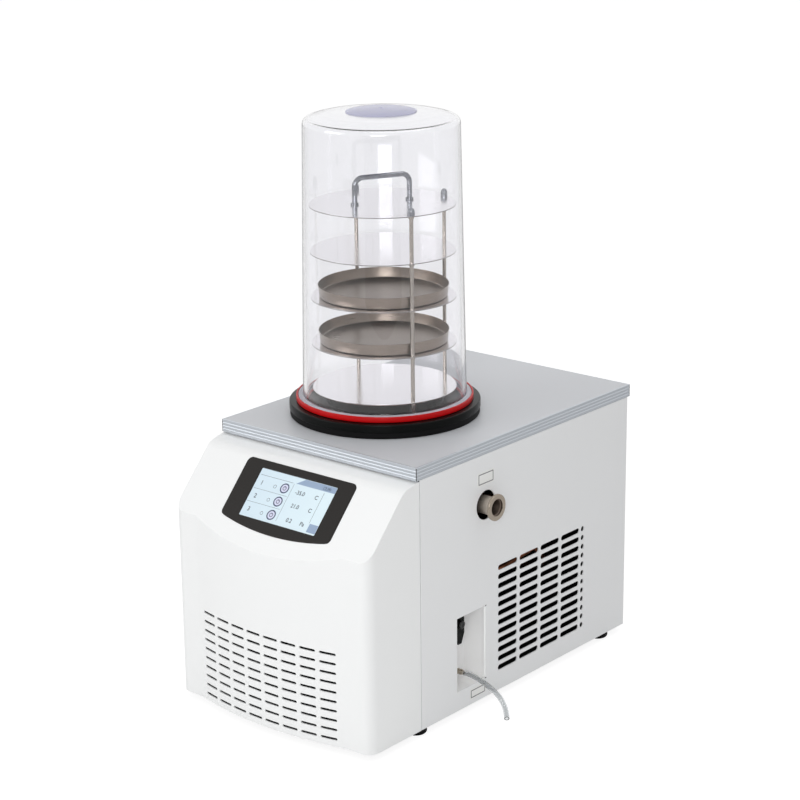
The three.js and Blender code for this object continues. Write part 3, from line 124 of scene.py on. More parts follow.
def curve_piece(name, route, bevel, smooth=True):
    """A curve through points, with handles that keep it smooth."""
    curve = bpy.data.curves.new(name, "CURVE")
    curve.dimensions = "3D"
    curve.bevel_depth = bevel
    curve.bevel_resolution = 6
    curve.resolution_u = 12
    spline = curve.splines.new("BEZIER")
    spline.bezier_points.add(len(route) - 1)
    for point, place in zip(spline.bezier_points, route):
        point.co = place
        point.handle_left_type = point.handle_right_type = "AUTO" if smooth else "VECTOR"
    piece = bpy.data.objects.new(name, curve)
    scene.collection.objects.link(piece)
    return piece


def centre_line(route):
    """Points close together along the same smooth curve."""
    line = curve_piece("hose_line", route, 0)
    places = [Vector(v.co) for v in line.to_mesh().vertices]
    bpy.data.objects.remove(line)
    return places


def make_active(piece):
    """Selects one object alone."""
    bpy.ops.object.select_all(action="DESELECT")
    piece.select_set(True)
    bpy.context.view_layer.objects.active = piece


def apply_modifier(piece, name, kind, **settings):
    """Adds a modifier and applies it at once."""
    make_active(piece)
    modifier = piece.modifiers.new(name, kind)
    for key, value in settings.items():
        setattr(modifier, key, value)
    bpy.ops.object.modifier_apply(modifier=name)


hose_path = centre_line(HOSE_ROUTE)
hose = curve_piece("clear_drain_hose", HOSE_ROUTE, HOSE_RADIUS)
make_active(hose)
bpy.ops.object.convert(target="MESH")
hose = bpy.context.object
apply_modifier(hose, "wall", "SOLIDIFY", thickness=HOSE_WALL, offset=-1)
bpy.ops.object.shade_smooth_by_angle(angle=math.radians(40))
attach(hose, "cabinet")
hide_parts("drain_hose")

# %% [markdown]
# Materials are built from nodes. One small function makes a material with its colour and roughness set on
# the shader itself, and one adds any node with its settings and links.

# %% Material helpers
def linear(hex_colour):
    """An sRGB hex colour as the linear RGBA that a shader takes."""
    channels = [int(hex_colour[i:i + 2], 16) / 255 for i in (1, 3, 5)]
    return [c / 12.92 if c <= 0.04045 else ((c + 0.055) / 1.055) ** 2.4 for c in channels] + [1.0]


def add_node(material, kind, inputs=None, **settings):
    """Adds a node. Inputs are values, or sockets of other nodes to link."""
    tree = material.node_tree
    node = tree.nodes.new("ShaderNode" + kind)
    for name, value in settings.items():
        setattr(node, name, value)
    for socket, value in (inputs or {}).items():
        if isinstance(value, bpy.types.NodeSocket):
            tree.links.new(value, node.inputs[socket])
        else:
            node.inputs[socket].default_value = value
    return node


def new_material(name, colour, roughness, **shader_inputs):
    """A material, its Principled shader, and the position on the object as a texture vector."""
    material = bpy.data.materials.new(name)
    material.use_nodes = True
    shader = material.node_tree.nodes["Principled BSDF"]
    for socket, value in {"Base Color": linear(colour), "Roughness": roughness, **shader_inputs}.items():
        shader.inputs[socket.replace("_", " ")].default_value = value
    place = add_node(material, "TexCoord").outputs["Object"]
    return material, shader, place


def link(material, output, target):
    material.node_tree.links.new(output, target)


def shade_between(material, shader, factor, colour_a, colour_b, socket="Base Color"):
    """Lets a pattern's factor move the colour between two hex values."""
    blend = add_node(material, "Mix", {0: factor, 6: linear(colour_a), 7: linear(colour_b)}, data_type="RGBA")
    link(material, blend.outputs[2], shader.inputs[socket])


def raise_surface(material, shader, height, depth):
    """Bump: the pattern's height stands proud by a depth in metres."""
    bump = add_node(material, "Bump", {"Height": height, "Distance": depth})
    link(material, bump.outputs[0], shader.inputs["Normal"])


def paint(piece, material):
    """Gives a piece one material all over."""
    piece.data.materials.clear()
    piece.data.materials.append(material)


# %% [markdown]
# The room has a pale floor and soft light. The key lamp stands at the front left, so the front is the
# brightest face and the right-hand side is a clear step darker. Camera, mirrors and clear walls see the
# world and the floor as white, but both light the object at a plain level. A black flag behind the camera,
# as in any studio that shoots metal and glass, is seen by reflections only and gives them dark edges.

# %% Room and light
WORLD_LEVEL = 0.47
KEY_WATTS = 38.5
FRONT_WATTS = 31.0
TOP_WATTS = 18.0
FLOOR_GLOW = 1.22
FLOOR_GLOW_SHARE = 0.72


def seen_directly(owner, *kinds):
    """A factor that is 1 for some kinds of ray."""
    rays = add_node(owner, "LightPath")
    factor = rays.outputs[kinds[0]]
    for kind in kinds[1:]:
        either = add_node(owner, "Math", {0: factor, 1: rays.outputs[kind]}, operation="MAXIMUM")
        factor = either.outputs[0]
    return factor


def mix_into_surface(material, factor, shader_a, shader_b):
    """Two shaders mixed by a factor, as the material's surface."""
    both = add_node(material, "MixShader", {0: factor, 1: shader_a.outputs[0], 2: shader_b.outputs[0]})
    link(material, both.outputs[0], material.node_tree.nodes["Material Output"].inputs[0])


world = bpy.data.worlds.new("studio")
world.use_nodes = True
scene.world = world
world_seen = seen_directly(world, "Is Camera Ray", "Is Transmission Ray", "Is Glossy Ray")
world_level = add_node(world, "MapRange", {0: world_seen, 3: WORLD_LEVEL, 4: 1.0})
background = world.node_tree.nodes["Background"]
background.inputs["Color"].default_value = linear("#ffffff")
link(world, world_level.outputs[0], background.inputs["Strength"])


def flat_square(name, size, place):
    """A piece of the studio, which isn't part of the object."""
    bpy.ops.mesh.primitive_plane_add(size=size, location=place)
    bpy.context.object.name = name
    return bpy.context.object


floor = flat_square("studio_floor", 40, (0, 8, 0))
floor_paint, floor_shader, _ = new_material("matt_white_floor", "#f4f4f4", 0.9)
floor_light = add_node(floor_paint, "Emission", {"Color": linear("#ffffff"), "Strength": FLOOR_GLOW})
floor_seen = seen_directly(floor_paint, "Is Camera Ray", "Is Transmission Ray")
floor_share = add_node(floor_paint, "Math", {0: floor_seen, 1: FLOOR_GLOW_SHARE}, operation="MULTIPLY")
mix_into_surface(floor_paint, floor_share.outputs[0], floor_shader, floor_light)
paint(floor, floor_paint)


def soft_lamp(name, place, size, watts):
    """A square soft box that faces the middle of the machine."""
    lamp = bpy.data.objects.new(name, bpy.data.lights.new(name, "AREA"))
    lamp.data.size = size
    lamp.data.energy = watts
    lamp.location = place
    lamp.rotation_euler = (Vector(place) - look_point).to_track_quat("Z", "Y").to_euler()
    scene.collection.objects.link(lamp)


soft_lamp("key_soft_box", (-2.2, -3.2, 2.0), 2.2, KEY_WATTS)
soft_lamp("camera_soft_box", (1.9, -2.7, 1.5), 1.2, FRONT_WATTS)
soft_lamp("top_soft_box", (0.2, 0.4, 3.0), 2.0, TOP_WATTS)

backwards = Vector((back.x, back.y, 0))
flag = flat_square("black_flag", 1, look_point + backwards.normalized() * 5)
bpy.ops.object.mode_set(mode="EDIT")
bpy.ops.transform.resize(value=(4.6, 2.6, 1))
bpy.ops.object.mode_set(mode="OBJECT")
flag.rotation_euler = backwards.to_track_quat("Z", "Y").to_euler()
flag.visible_camera = flag.visible_diffuse = flag.visible_shadow = flag.visible_transmission = False
paint(flag, new_material("black_cloth", "#101010", 0.95)[0])

# %% [markdown]
# Powder-coated steel has a very fine orange-peel surface, and moulded plastic is smoother. The colour stays
# even, so the pattern only moves the surface by a few microns, drawn as coarse as it needs to show. The
# rear panel's coat turns near black inside as painted shade, for the dark that shows through the slots.

# %% Paint and plastic
def grained(name, colour, roughness, cell, depth, **inputs):
    """A solid colour with a fine grain: cell is its size and depth its height, in millimetres."""
    material, shader, place = new_material(name, colour, roughness, **inputs)
    grain = add_node(material, "TexNoise", {"Vector": place, "Scale": 1000 / cell, "Detail": 3.0})
    raise_surface(material, shader, grain.outputs["Fac"], mm(depth))
    return material


powder_coat = grained("white_powder_coat", "#eeeff0", 0.42, 0.9, 0.02)
moulded_abs = grained("white_moulded_abs", "#f4f5f5", 0.36, 0.6, 0.008)
black_abs = grained("black_moulded_abs", "#080a09", 0.28, 0.6, 0.01, Specular_IOR_Level=0.1)
bezel_film = grained("black_gloss_film", "#171310", 0.22, 2.0, 0.004, Specular_IOR_Level=0.28)
nitrile_rubber = grained("black_rubber", "#0a0a0b", 0.6, 0.8, 0.03, Specular_IOR_Level=0.12)
insulation_foam = grained("black_foam", "#202022", 0.95, 1.5, 0.2)
silicone = grained("red_silicone", "#c4050b", 0.34, 1.2, 0.01, Specular_IOR_Level=0.2)
label_film = grained("white_label_film", "#f1f1ef", 0.5, 1.5, 0.004)
grey_ink = grained("grey_print", "#77797b", 0.5, 1.5, 0.002)
grey_plate = grained("satin_grey_plate", "#cfd1d5", 0.4, 0.5, 0.012)
board_resist = grained("green_solder_resist", "#1f5a38", 0.5, 1.0, 0.01)
black_lacquer = grained("black_lacquer", "#101112", 0.35, 1.5, 0.01)
# Painted shade: the rear panel's coat is white only on its outer face and near black everywhere inside it.
lined_coat = grained("powder_coat_lined_with_black_foam", "#eeeff0", 0.42, 0.9, 0.02)
lined_shader = lined_coat.node_tree.nodes["Principled BSDF"]
lined_axes = add_node(lined_coat, "SeparateXYZ", {0: add_node(lined_coat, "TexCoord").outputs["Object"]})
coat_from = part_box("rear_panel")[1].y - mm(0.5)
lined_side = add_node(lined_coat, "Math", {0: lined_axes.outputs[1], 1: coat_from}, operation="GREATER_THAN")
shade_between(lined_coat, lined_shader, lined_side.outputs[0], "#0c0c0d", "#eeeff0")
# A lighter copy of the white powder coat, as painted light for the shaded valve recess.
recess_coat = grained("fresh_powder_coat", "#fcfcfc", 0.4, 0.9, 0.02)

# %% [markdown]
# The metals differ by colour and by how they were finished: brushed plate has streaks along one
# direction, turned steel has faint rings, and galvanised sheet has the mottle of its zinc. One noise
# pattern, stretched by real lengths, gives them all.

# %% Metals
def brushed(name, colour, roughness, along, drift=0.08):
    """Metal with fine streaks: along holds the stretch of the pattern on each axis, in millimetres."""
    material, shader, place = new_material(name, colour, roughness, Metallic=1.0)
    scaled = add_node(material, "Mapping", {"Vector": place, "Scale": [1000 / s for s in along]})
    streaks = add_node(material, "TexNoise", {"Vector": scaled.outputs[0], "Scale": 1.0, "Detail": 2.0})
    limits = {3: roughness - drift, 4: roughness + drift}
    span = add_node(material, "MapRange", {0: streaks.outputs["Fac"], **limits})
    link(material, span.outputs[0], shader.inputs["Roughness"])
    raise_surface(material, shader, streaks.outputs["Fac"], mm(0.004))
    return material


polished_steel = brushed("polished_stainless", "#f7f5f7", 0.18, (30, 30, 0.8), 0.04)
drawn_steel = brushed("drawn_stainless", "#a39c94", 0.2, (0.6, 0.6, 30), 0.08)
turned_steel = brushed("turned_stainless", "#b0a496", 0.15, (0.7, 20, 20), 0.05)
pickled_steel = brushed("pickled_stainless", "#cdc3b7", 0.5, (0.7, 20, 20), 0.05)
bore_steel = brushed("as_drawn_stainless", "#7c7067", 0.45, (20, 0.7, 20), 0.05)
sheared_edge = brushed("sheared_steel_edge", "#77726e", 0.45, (1, 1, 4), 0.05)
tray_steel = brushed("pressed_stainless", "#90857b", 0.3, (40, 40, 1.2), 0.06)
chromed = brushed("chromed_steel", "#86888c", 0.06, (12, 12, 12), 0.02)
trim_aluminium = brushed("anodised_aluminium", "#c8cdd3", 0.3, (60, 60, 0.5), 0.05)
zinc_sheet = brushed("galvanised_sheet", "#9a9da0", 0.5, (6, 6, 6), 0.1)
nickelled_brass = brushed("nickelled_brass", "#b3a999", 0.26, (0.8, 15, 15), 0.05)
copper = brushed("drawn_copper", "#8f5c43", 0.32, (14, 14, 14), 0.06)

# %% [markdown]
# The bell is clear acrylic, and its light for shadows passes straight through, as it nearly does in so thin
# a wall. The rim of its foot is made milky and pale as a painted highlight, for the bright ring of its
# polished edge, and the tinted boss is milky too. The hose is softer PVC, with its cut end a flat grey as
# painted shade, because light leaves the tube there.

# %% Clear plastics
def clear(name, colour, roughness, refraction, shade):
    """A transmitting plastic. Light for shadows passes straight through, dimmed by the shade."""
    material, shader, _ = new_material(name, colour, roughness, IOR=refraction, Transmission_Weight=1.0)
    rays = add_node(material, "LightPath")
    bare = add_node(material, "BsdfTransparent", {"Color": linear(shade)})
    mix_into_surface(material, rays.outputs["Is Shadow Ray"], shader, bare)
    return material


acrylic = clear("clear_acrylic", "#f6f6f8", 0.0, 1.49, "#f0f0f2")
# Painted highlight: a milky pale finish for the bright ring of the bell foot's rim.
ground_acrylic = grained("ground_acrylic", "#dadae4", 0.4, 0.7, 0.006, IOR=1.3, Transmission_Weight=0.4)
tinted_acrylic = grained("cool_tinted_acrylic", "#cbcbe4", 0.2, 2.0, 0.002, IOR=1.3, Transmission_Weight=0.35)
soft_tube = clear("clear_pvc", "#d8dadb", 0.03, 1.4, "#dededc")
# Painted shade: a flat grey for the hose's cut end.
cut_tube = grained("cut_pvc_edge", "#505150", 0.5, 1.0, 0.004)
paint(hose, soft_tube)

# %% [markdown]
# Most of what is inside the cabinet, the worktop and its trims keep their imported mesh and get their
# finish here. What stands behind the slots is lacquered black, which is also painted shade: it keeps the
# view through the slots as dark as the shade inside the cabinet. Pieces that are modelled below hide their
# packed ones.

# %% Finish of the imported pieces
FINISHES = {
    lined_coat: ("rear_panel",),
    black_abs: ("fan_blade", "fan_motor"),
    insulation_foam: ("trap_insulation",),
    board_resist: ("display_board",),
    # The black of the compressor, rail, base pan and condenser is partly painted shade behind the slots.
    black_lacquer: ("compressor", "front_rail", "base_pan", "condenser"),
    polished_steel: ("cold_trap",),
    trim_aluminium: ("front_trim", "right_trim", "rear_trim", "left_trim"),
    grey_plate: ("worktop",),
    zinc_sheet: ("fan_shroud",),
    copper: ("evaporator_coil", "drain_pipe", "discharge_pipe", "suction_pipe", "liquid_line"),
}
for finish, names in FINISHES.items():
    for name in names:
        paint(bpy.data.objects[name], finish)

# %% [markdown]
# Covers, plates and levers start as a flat outline that is pushed to a depth, as sheet is cut or plastic is
# moulded. A box would also do, but corners that are extruded one after another, filled and extruded again
# give the true outline with no rework.

# %% Outlines and prisms
DOUBLES = mm(0.002)


def arc(centre, radius, start, end, steps=5):
    """Points of an arc in a plane, angles in degrees, both ends included."""
    turns = [math.radians(start + (end - start) * i / steps) for i in range(steps + 1)]
    return [(centre[0] + radius * math.cos(t), centre[1] + radius * math.sin(t)) for t in turns]


def rounded_box(x0, y0, x1, y1, radius, steps=5):
    """A rectangle with rounded corners."""
    left, low, right, high = x0 + radius, y0 + radius, x1 - radius, y1 - radius
    corners = ((right, low, -90), (right, high, 0), (left, high, 90), (left, low, 180))
    return [point for x, y, turn in corners for point in arc((x, y), radius, turn, turn + 90, steps)]


def chain(name, points):
    """One vertex, extruded from point to point."""
    bpy.ops.object.select_all(action="DESELECT")
    bpy.ops.mesh.primitive_plane_add(size=0.001, location=(0, 0, 0))
    piece = bpy.context.object
    piece.name = piece.data.name = name
    bpy.ops.object.mode_set(mode="EDIT")
    bpy.ops.mesh.select_all(action="SELECT")
    bpy.ops.mesh.merge(type="CENTER")
    bpy.ops.transform.translate(value=points[0])
    for before, after in zip(points, points[1:]):
        step = Vector(after) - Vector(before)
        bpy.ops.mesh.extrude_vertices_move(TRANSFORM_OT_translate={"value": step})
    bpy.ops.mesh.select_all(action="SELECT")
    return piece


def edit(piece, kind="VERT", action="SELECT"):
    """Opens a piece for editing, with all of it or nothing selected."""
    make_active(piece)
    bpy.ops.object.mode_set(mode="EDIT")
    bpy.ops.mesh.select_mode(type=kind)
    bpy.ops.mesh.select_all(action=action)


def finish_mesh(piece, angle=35):
    """Merges doubles, turns the normals out and shades smooth below an angle."""
    bpy.ops.mesh.select_mode(type="VERT")
    bpy.ops.mesh.select_all(action="SELECT")
    bpy.ops.mesh.remove_doubles(threshold=DOUBLES)
    bpy.ops.mesh.normals_make_consistent(inside=False)
    bpy.ops.object.mode_set(mode="OBJECT")
    make_active(piece)
    bpy.ops.object.shade_smooth_by_angle(angle=math.radians(angle))


def bevel_selected(piece, width, steps):
    """Rounds the selected edges."""
    bpy.ops.mesh.bevel(offset=width, segments=steps, profile=0.5, clamp_overlap=True)
    finish_mesh(piece)


def bevel_sharp(piece, width, steps=2, angle=30):
    """Rounds the edges that are sharper than an angle."""
    edit(piece, "EDGE", "DESELECT")
    bpy.ops.mesh.edges_select_sharp(sharpness=math.radians(angle))
    bevel_selected(piece, width, steps)


def placed(axis, along, across, up):
    """A point from its place on an axis and its two places across it."""
    return Vector({"X": (along, across, up), "Y": (across, along, up), "Z": (across, up, along)}[axis])


def prism(name, outline, axis, low, high, edge=0.0, edge_steps=2):
    """A flat outline across an axis, extruded from one place to another, with its rims bevelled."""
    points = [placed(axis, low, u, v) for u, v in outline]
    piece = chain(name, points + points[:1])
    bpy.ops.mesh.remove_doubles(threshold=DOUBLES)
    bpy.ops.mesh.edge_face_add()
    bpy.ops.mesh.extrude_region_move(TRANSFORM_OT_translate={"value": placed(axis, high - low, 0, 0)})
    finish_mesh(piece)
    if edge:
        bevel_sharp(piece, edge, edge_steps)
    return piece


def slab(name, axis, area, radius, low, high, grow=0, steps=5, **edges):
    """A rounded rectangle, extruded. Its area (x0, y0, x1, y1) may grow all round."""
    x0, y0, x1, y1 = area
    outline = rounded_box(x0 - grow, y0 - grow, x1 + grow, y1 + grow, radius, steps)
    return prism(name, outline, axis, low, high, **edges)


def settle(piece, material, slot, *replaced, body="cabinet"):
    """Gives a finished piece its material and its place in the model."""
    paint(piece, material)
    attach(piece, body)
    if replaced:
        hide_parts(*replaced)
    print(f"{piece.name}: {len(piece.data.polygons)} faces")
    return piece


def refinish(piece, material, passes):
    """Gives another material to the faces whose centre and normal pass a test."""
    piece.data.materials.append(material)
    for side in piece.data.polygons:
        if passes(side.center, side.normal):
            side.material_index = len(piece.data.materials) - 1


# %% [markdown]
# Round parts are made as a lathe makes them: half of the section is drawn as a chain of points and spun a
# full turn. Sharp edges are then rounded a little, because no real edge is perfectly sharp. A screw
# modifier would do the same, but a spin leaves a plain mesh at once.

# %% Turned parts
def spun(name, profile, at, axis="Z", edge=0.0, steps=96):
    """Half a section of (radius, height) points in millimetres, spun about an axis through a place."""
    place = Vector(at)
    points = [place + (placed(axis, mm(h), mm(r), 0) if axis == "Z" else placed(axis, mm(h), 0, mm(r)))
              for r, h in profile]
    starts_on_axis = profile[0][0] == 0
    piece = chain(name, points if starts_on_axis else points + points[:1])
    bpy.ops.mesh.spin(steps=steps, angle=2 * math.pi, center=place, axis=placed(axis, 1, 0, 0), dupli=False)
    finish_mesh(piece)
    if edge:
        bevel_sharp(piece, mm(edge))
    return piece


def drill(radius, low, high, at, axis="Z", steps=96):
    """A round cutting tool, its ends given in millimetres from a place."""
    return spun("drill", [(0, low), (radius, low), (radius, high), (0, high)], at, axis, steps=steps)


# %% [markdown]
# The front cover is one plastic moulding with a bowed front, a sloping visor and a nearly level top edge.
# Its plan is pushed up to a block, the slopes are sliced off and the creases are rounded. A bent grid could
# follow it too, but this keeps each face flat or evenly bowed. It ends just short of the side panels, which
# leaves the thin gap of the real joint.

# %% Front cover
COVER_REACH = mm(109.5)
COVER_BOW = mm(19)
BOW_HALF = mm(147)
COVER_CORNER = mm(18)
COVER_WALL = mm(2)
COVER_TOP = TOP - mm(22)
COVER_BASE = mm(11)
SHOULDER = Vector((MIDDLE, FRONT - mm(28), TOP - mm(28.2)))
VISOR_ANGLE = math.radians(47.1)
seam = FRONT + mm(6.4)
bow_radius = (BOW_HALF ** 2 + COVER_BOW ** 2) / (2 * COVER_BOW)
bow_turn = math.degrees(math.asin(BOW_HALF / bow_radius))
bow_centre = (MIDDLE, FRONT - COVER_REACH - COVER_BOW + bow_radius)
cover_plan = [
    (LEFT, seam),
    *arc((LEFT + COVER_CORNER, FRONT - COVER_REACH + COVER_CORNER), COVER_CORNER, 180, 270, 8),
    *arc(bow_centre, bow_radius, 270 - bow_turn, 270 + bow_turn, 28),
    *arc((SIDE - COVER_CORNER, FRONT - COVER_REACH + COVER_CORNER), COVER_CORNER, 270, 360, 8),
    (SIDE, seam),
]
cover = prism("moulded_front_cover", cover_plan, "Z", COVER_BASE, COVER_TOP)

visor_normal = Vector((0, -math.sin(VISOR_ANGLE), math.cos(VISOR_ANGLE)))
top_turn = math.atan2(mm(6.2), mm(31))
top_normal = Vector((0, -math.sin(top_turn), math.cos(top_turn)))


def slice_off(piece, point, normal):
    """Cuts away what lies beyond a plane and closes the cut with a face."""
    edit(piece)
    bpy.ops.mesh.bisect(plane_co=point, plane_no=normal, use_fill=True, clear_outer=True)
    finish_mesh(piece)


def pick(piece, kind, passes):
    """Selects the edges or the faces that pass a test."""
    edit(piece, kind, "DESELECT")
    mesh = bmesh.from_edit_mesh(piece.data)
    for part in (mesh.edges if kind == "EDGE" else mesh.faces):
        part.select_set(passes(part))
    bmesh.update_edit_mesh(piece.data)


def round_edges(piece, passes, width, steps):
    """Rounds the edges whose two ends pass a test."""
    pick(piece, "EDGE", lambda edge: all(passes(end.co) for end in edge.verts))
    bevel_selected(piece, width, steps)


slice_off(cover, SHOULDER, visor_normal)
slice_off(cover, SHOULDER, top_normal)
on_visor = lambda point: abs((point - SHOULDER).dot(visor_normal)) < mm(0.05)
on_top = lambda point: abs((point - SHOULDER).dot(top_normal)) < mm(0.05)
round_edges(cover, lambda point: on_visor(point) and on_top(point), mm(9), 8)
in_front = lambda point: point.y < SHOULDER.y - mm(4)
below = lambda point: point.z < SHOULDER.z - mm(4)
round_edges(cover, lambda point: on_visor(point) and in_front(point) and below(point), mm(4.5), 5)
print("cover block:", len(cover.data.polygons), "faces")

# %% [markdown]
# The block becomes a shell: its back and base are taken away and the rest is thickened inwards, because a
# moulding's wall is even. The slots are cut by copies of one stadium-shaped cutter, as one tool would.

# %% Cover wall and slots
pick(cover, "FACE", lambda face: face.normal.y > 0.99 or face.normal.z < -0.99)
bpy.ops.mesh.delete(type="FACE")
finish_mesh(cover)
apply_modifier(cover, "wall", "SOLIDIFY", thickness=COVER_WALL, offset=-1, use_even_offset=True)


def stadium(length, height, across, z, steps=5):
    """A slot with round ends, as an outline."""
    radius = height / 2
    half = length / 2 - radius
    return arc((across + half, z), radius, -90, 90, steps) + arc((across - half, z), radius, 90, 270, steps)


def copy_of(piece, name, offset):
    """A copy with its own mesh, moved, and left at the origin."""
    twin = piece.copy()
    twin.data = piece.data.copy()
    twin.name = twin.data.name = name
    twin.data.transform(Matrix.Translation(offset))
    scene.collection.objects.link(twin)
    return twin


def joined(pieces, name=None):
    """Several pieces as one."""
    make_active(pieces[0])
    for piece in pieces:
        piece.select_set(True)
    bpy.ops.object.join()
    pieces[0].name = pieces[0].data.name = name or pieces[0].name
    return pieces[0]


def grid_of(cutter, columns, rows, along, rise):
    """Copies of a cutter in columns and rows, as one object."""
    copies = [copy_of(cutter, f"{cutter.name}_{c}_{r}", along * c + Vector((0, 0, rise * r)))
              for c in range(columns) for r in range(rows) if c or r]
    return joined([cutter] + copies)


def carve(piece, tool, operation="DIFFERENCE"):
    """Cuts a piece with a tool, and removes the tool."""
    apply_modifier(piece, "cut", "BOOLEAN", object=tool, operation=operation, solver="EXACT")
    bpy.data.objects.remove(tool)
    bpy.ops.object.mode_set(mode="EDIT")
    finish_mesh(piece)


SLOT_PITCH = mm(34)
first_slot = stadium(mm(28), mm(4), MIDDLE - 3.5 * SLOT_PITCH, mm(23))
cutter = prism("slot_cutter", first_slot, "Y", FRONT - COVER_REACH - mm(40), FRONT - COVER_REACH + mm(40))
carve(cover, grid_of(cutter, 8, 10, Vector((SLOT_PITCH, 0, 0)), mm(14.8)))

# %% [markdown]
# Each side panel is one folded sheet with punched slots. It could be one outline with many holes, but
# cutting a sheet with copies of one slot is how the punch works too. The right-hand panel also has a column
# of round holes, a hole for the port, an opening for the valve recess and a rounded front bend. A black
# foam mat behind the left-hand vent is painted shade: it keeps the view through the slots as dark as the
# shade inside the cabinet.

# %% Side panels
SHEET = mm(1.8)
SLOT_RISE = mm(14.9)
slots_from = FRONT + mm(191.5)


def punch(outline):
    """A cutting tool through the right-hand panel."""
    return prism("punch", outline, "X", SIDE - mm(9), SIDE + mm(7))


def vented_sheet(name, node, near, far, rows):
    """A side panel between two places across the machine, with its flange and its grid of slots."""
    low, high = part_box(node)
    sheet = slab(name, "X", (low.y, low.z, high.y, high.z), mm(0.4), near, far, edge=mm(0.3))
    side_slot = stadium(mm(48.9), mm(8.8), slots_from + mm(24.45), mm(48), 7)
    cutter = prism("side_slot", side_slot, "X", near - mm(7), far + mm(7))
    carve(sheet, grid_of(cutter, 4, rows, Vector((0, mm(54), 0)), SLOT_RISE))
    fold = (near + far) / 2
    ends = (low.x, fold) if near > MIDDLE else (fold, high.x)
    flange = (low.y + mm(34), high.z - SHEET - mm(0.3), high.y - mm(20), high.z - mm(0.3))
    carve(sheet, slab("flange", "X", flange, mm(0.2), *ends, steps=2), "UNION")
    return sheet


def relief(name, end, near, far):
    """A small round bar at an end of the recess's rear bend."""
    return prism(name, arc((recess_rear + mm(0.8), end), mm(1.2), 0, 337.5, 15), "X", near, far)


panel = vented_sheet("punched_right_panel", "right_panel", SIDE - SHEET, SIDE, 12)
round_hole = punch(arc((slots_from + mm(219.5), mm(48)), mm(4.4), 0, 345, 23))
carve(panel, grid_of(round_hole, 1, 12, Vector((0, 0, 0)), SLOT_RISE))
carve(panel, punch(arc((FRONT + mm(162), TOP - mm(100)), mm(23), 0, 354, 59)))
recess_low, recess_high = mm(42), mm(161)
recess_rear = valves_y + mm(34.75)
RECESS = (valves_y - mm(34.75), recess_low, recess_rear, recess_high)
carve(panel, punch(rounded_box(*RECESS, mm(0.6))))
for end in (recess_low, recess_high):
    carve(panel, relief("relief", end, SIDE - mm(0.9), SIDE + mm(7)))
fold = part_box("right_panel")[0].y
round_edges(panel, lambda point: point.x > SIDE - mm(0.1) and point.y < fold + mm(0.1), mm(1.5), 4)
settle(panel, powder_coat, "white_enamel", "right_panel")
left_panel = vented_sheet("punched_left_panel", "left_panel", LEFT, LEFT + SHEET, 8)
settle(left_panel, powder_coat, "white_enamel", "left_panel")
# Painted shade: a black foam sheet closing the left-hand vent from inside.
mat = slab("vent_filter_mat", "X", (slots_from - mm(8), mm(36), slots_from + mm(219), mm(165)), mm(5),
           LEFT + SHEET + mm(0.3), LEFT + SHEET + mm(4), edge=mm(0.8))
settle(mat, insulation_foam, "black_foam")

# %% [markdown]
# The screen sits in a dark glossy surround, nearly flush in the visor, with a lower edge that bows down
# like the cover's crease. Parts on the visor are drawn flat, with x across, y up the slope and z out of it,
# and then turned into place, which is simpler than drawing on a slope. A bowed black foam strip behind the
# lowest front slots is painted shade: it keeps the view through them as dark as the shade inside.

# %% Screen surround
VISOR_PLACE = Matrix.Translation(SHOULDER) @ Matrix.Rotation(VISOR_ANGLE, 4, "X")
SCREEN = (mm(-69.8), mm(-99), mm(79.8), mm(-19.4))


def on_slope(piece):
    """Turns a piece that was drawn flat onto the visor."""
    piece.data.transform(VISOR_PLACE)
    return piece


def surround_outline(grow):
    """The surround's edge: a bowed lower side, and round corners."""
    left, right, high, low = mm(-104) - grow, mm(111.5) + grow, mm(-6.9) + grow, mm(-104.3)
    round_corner = mm(9) + grow
    half = (right - left) / 2
    sag = mm(13.3) + grow
    radius = (half ** 2 + sag ** 2) / (2 * sag)
    turn = math.degrees(math.asin((half - round_corner * 0.9) / radius))
    lift = round_corner * 0.75
    return (arc(((left + right) / 2, low - sag + radius), radius, 270 - turn, 270 + turn, 24)
            + arc((right - round_corner, low + lift), round_corner, -50, 0, 5)
            + arc((right - round_corner, high - round_corner), round_corner, 0, 90, 7)
            + arc((left + round_corner, high - round_corner), round_corner, 90, 180, 7)
            + arc((left + round_corner, low + lift), round_corner, 180, 230, 5))


carve(cover, on_slope(prism("seat_cutter", surround_outline(mm(0.35)), "Z", mm(-1.2), mm(8))))
carve(cover, on_slope(slab("window_cutter", "Z", SCREEN, mm(1.5), mm(-18), mm(8), grow=mm(0.6))))
settle(cover, moulded_abs, "white_plastic", "front_cover")
strip_turn = bow_turn * 0.95
strip_plan = (arc(bow_centre, bow_radius - mm(5), 270 - strip_turn, 270 + strip_turn, 20)
              + arc(bow_centre, bow_radius - mm(8), 270 + strip_turn, 270 - strip_turn, 20))
# Painted shade: a dark foam strip behind the lowest front slots.
strip = prism("front_dust_strip", strip_plan, "Z", COVER_BASE + mm(0.5), COVER_BASE + mm(25))
settle(strip, insulation_foam, "black_foam")

surround = prism("screen_surround", surround_outline(0), "Z", mm(-0.9), mm(0.6))
carve(surround, slab("opening_cutter", "Z", SCREEN, mm(1.5), mm(-5), mm(5)))
bevel_sharp(surround, mm(0.4), 2)
settle(on_slope(surround), bezel_film, "black_plastic", "screen_bezel")

# %% [markdown]
# The screen is a lit panel behind glass. What it shows is laid on it as very thin inked shapes: three rows
# with a round start button each, their values and a bar along the top. A painted texture would blur close
# by, and shapes stay sharp. It holds no words, only numbers and units.

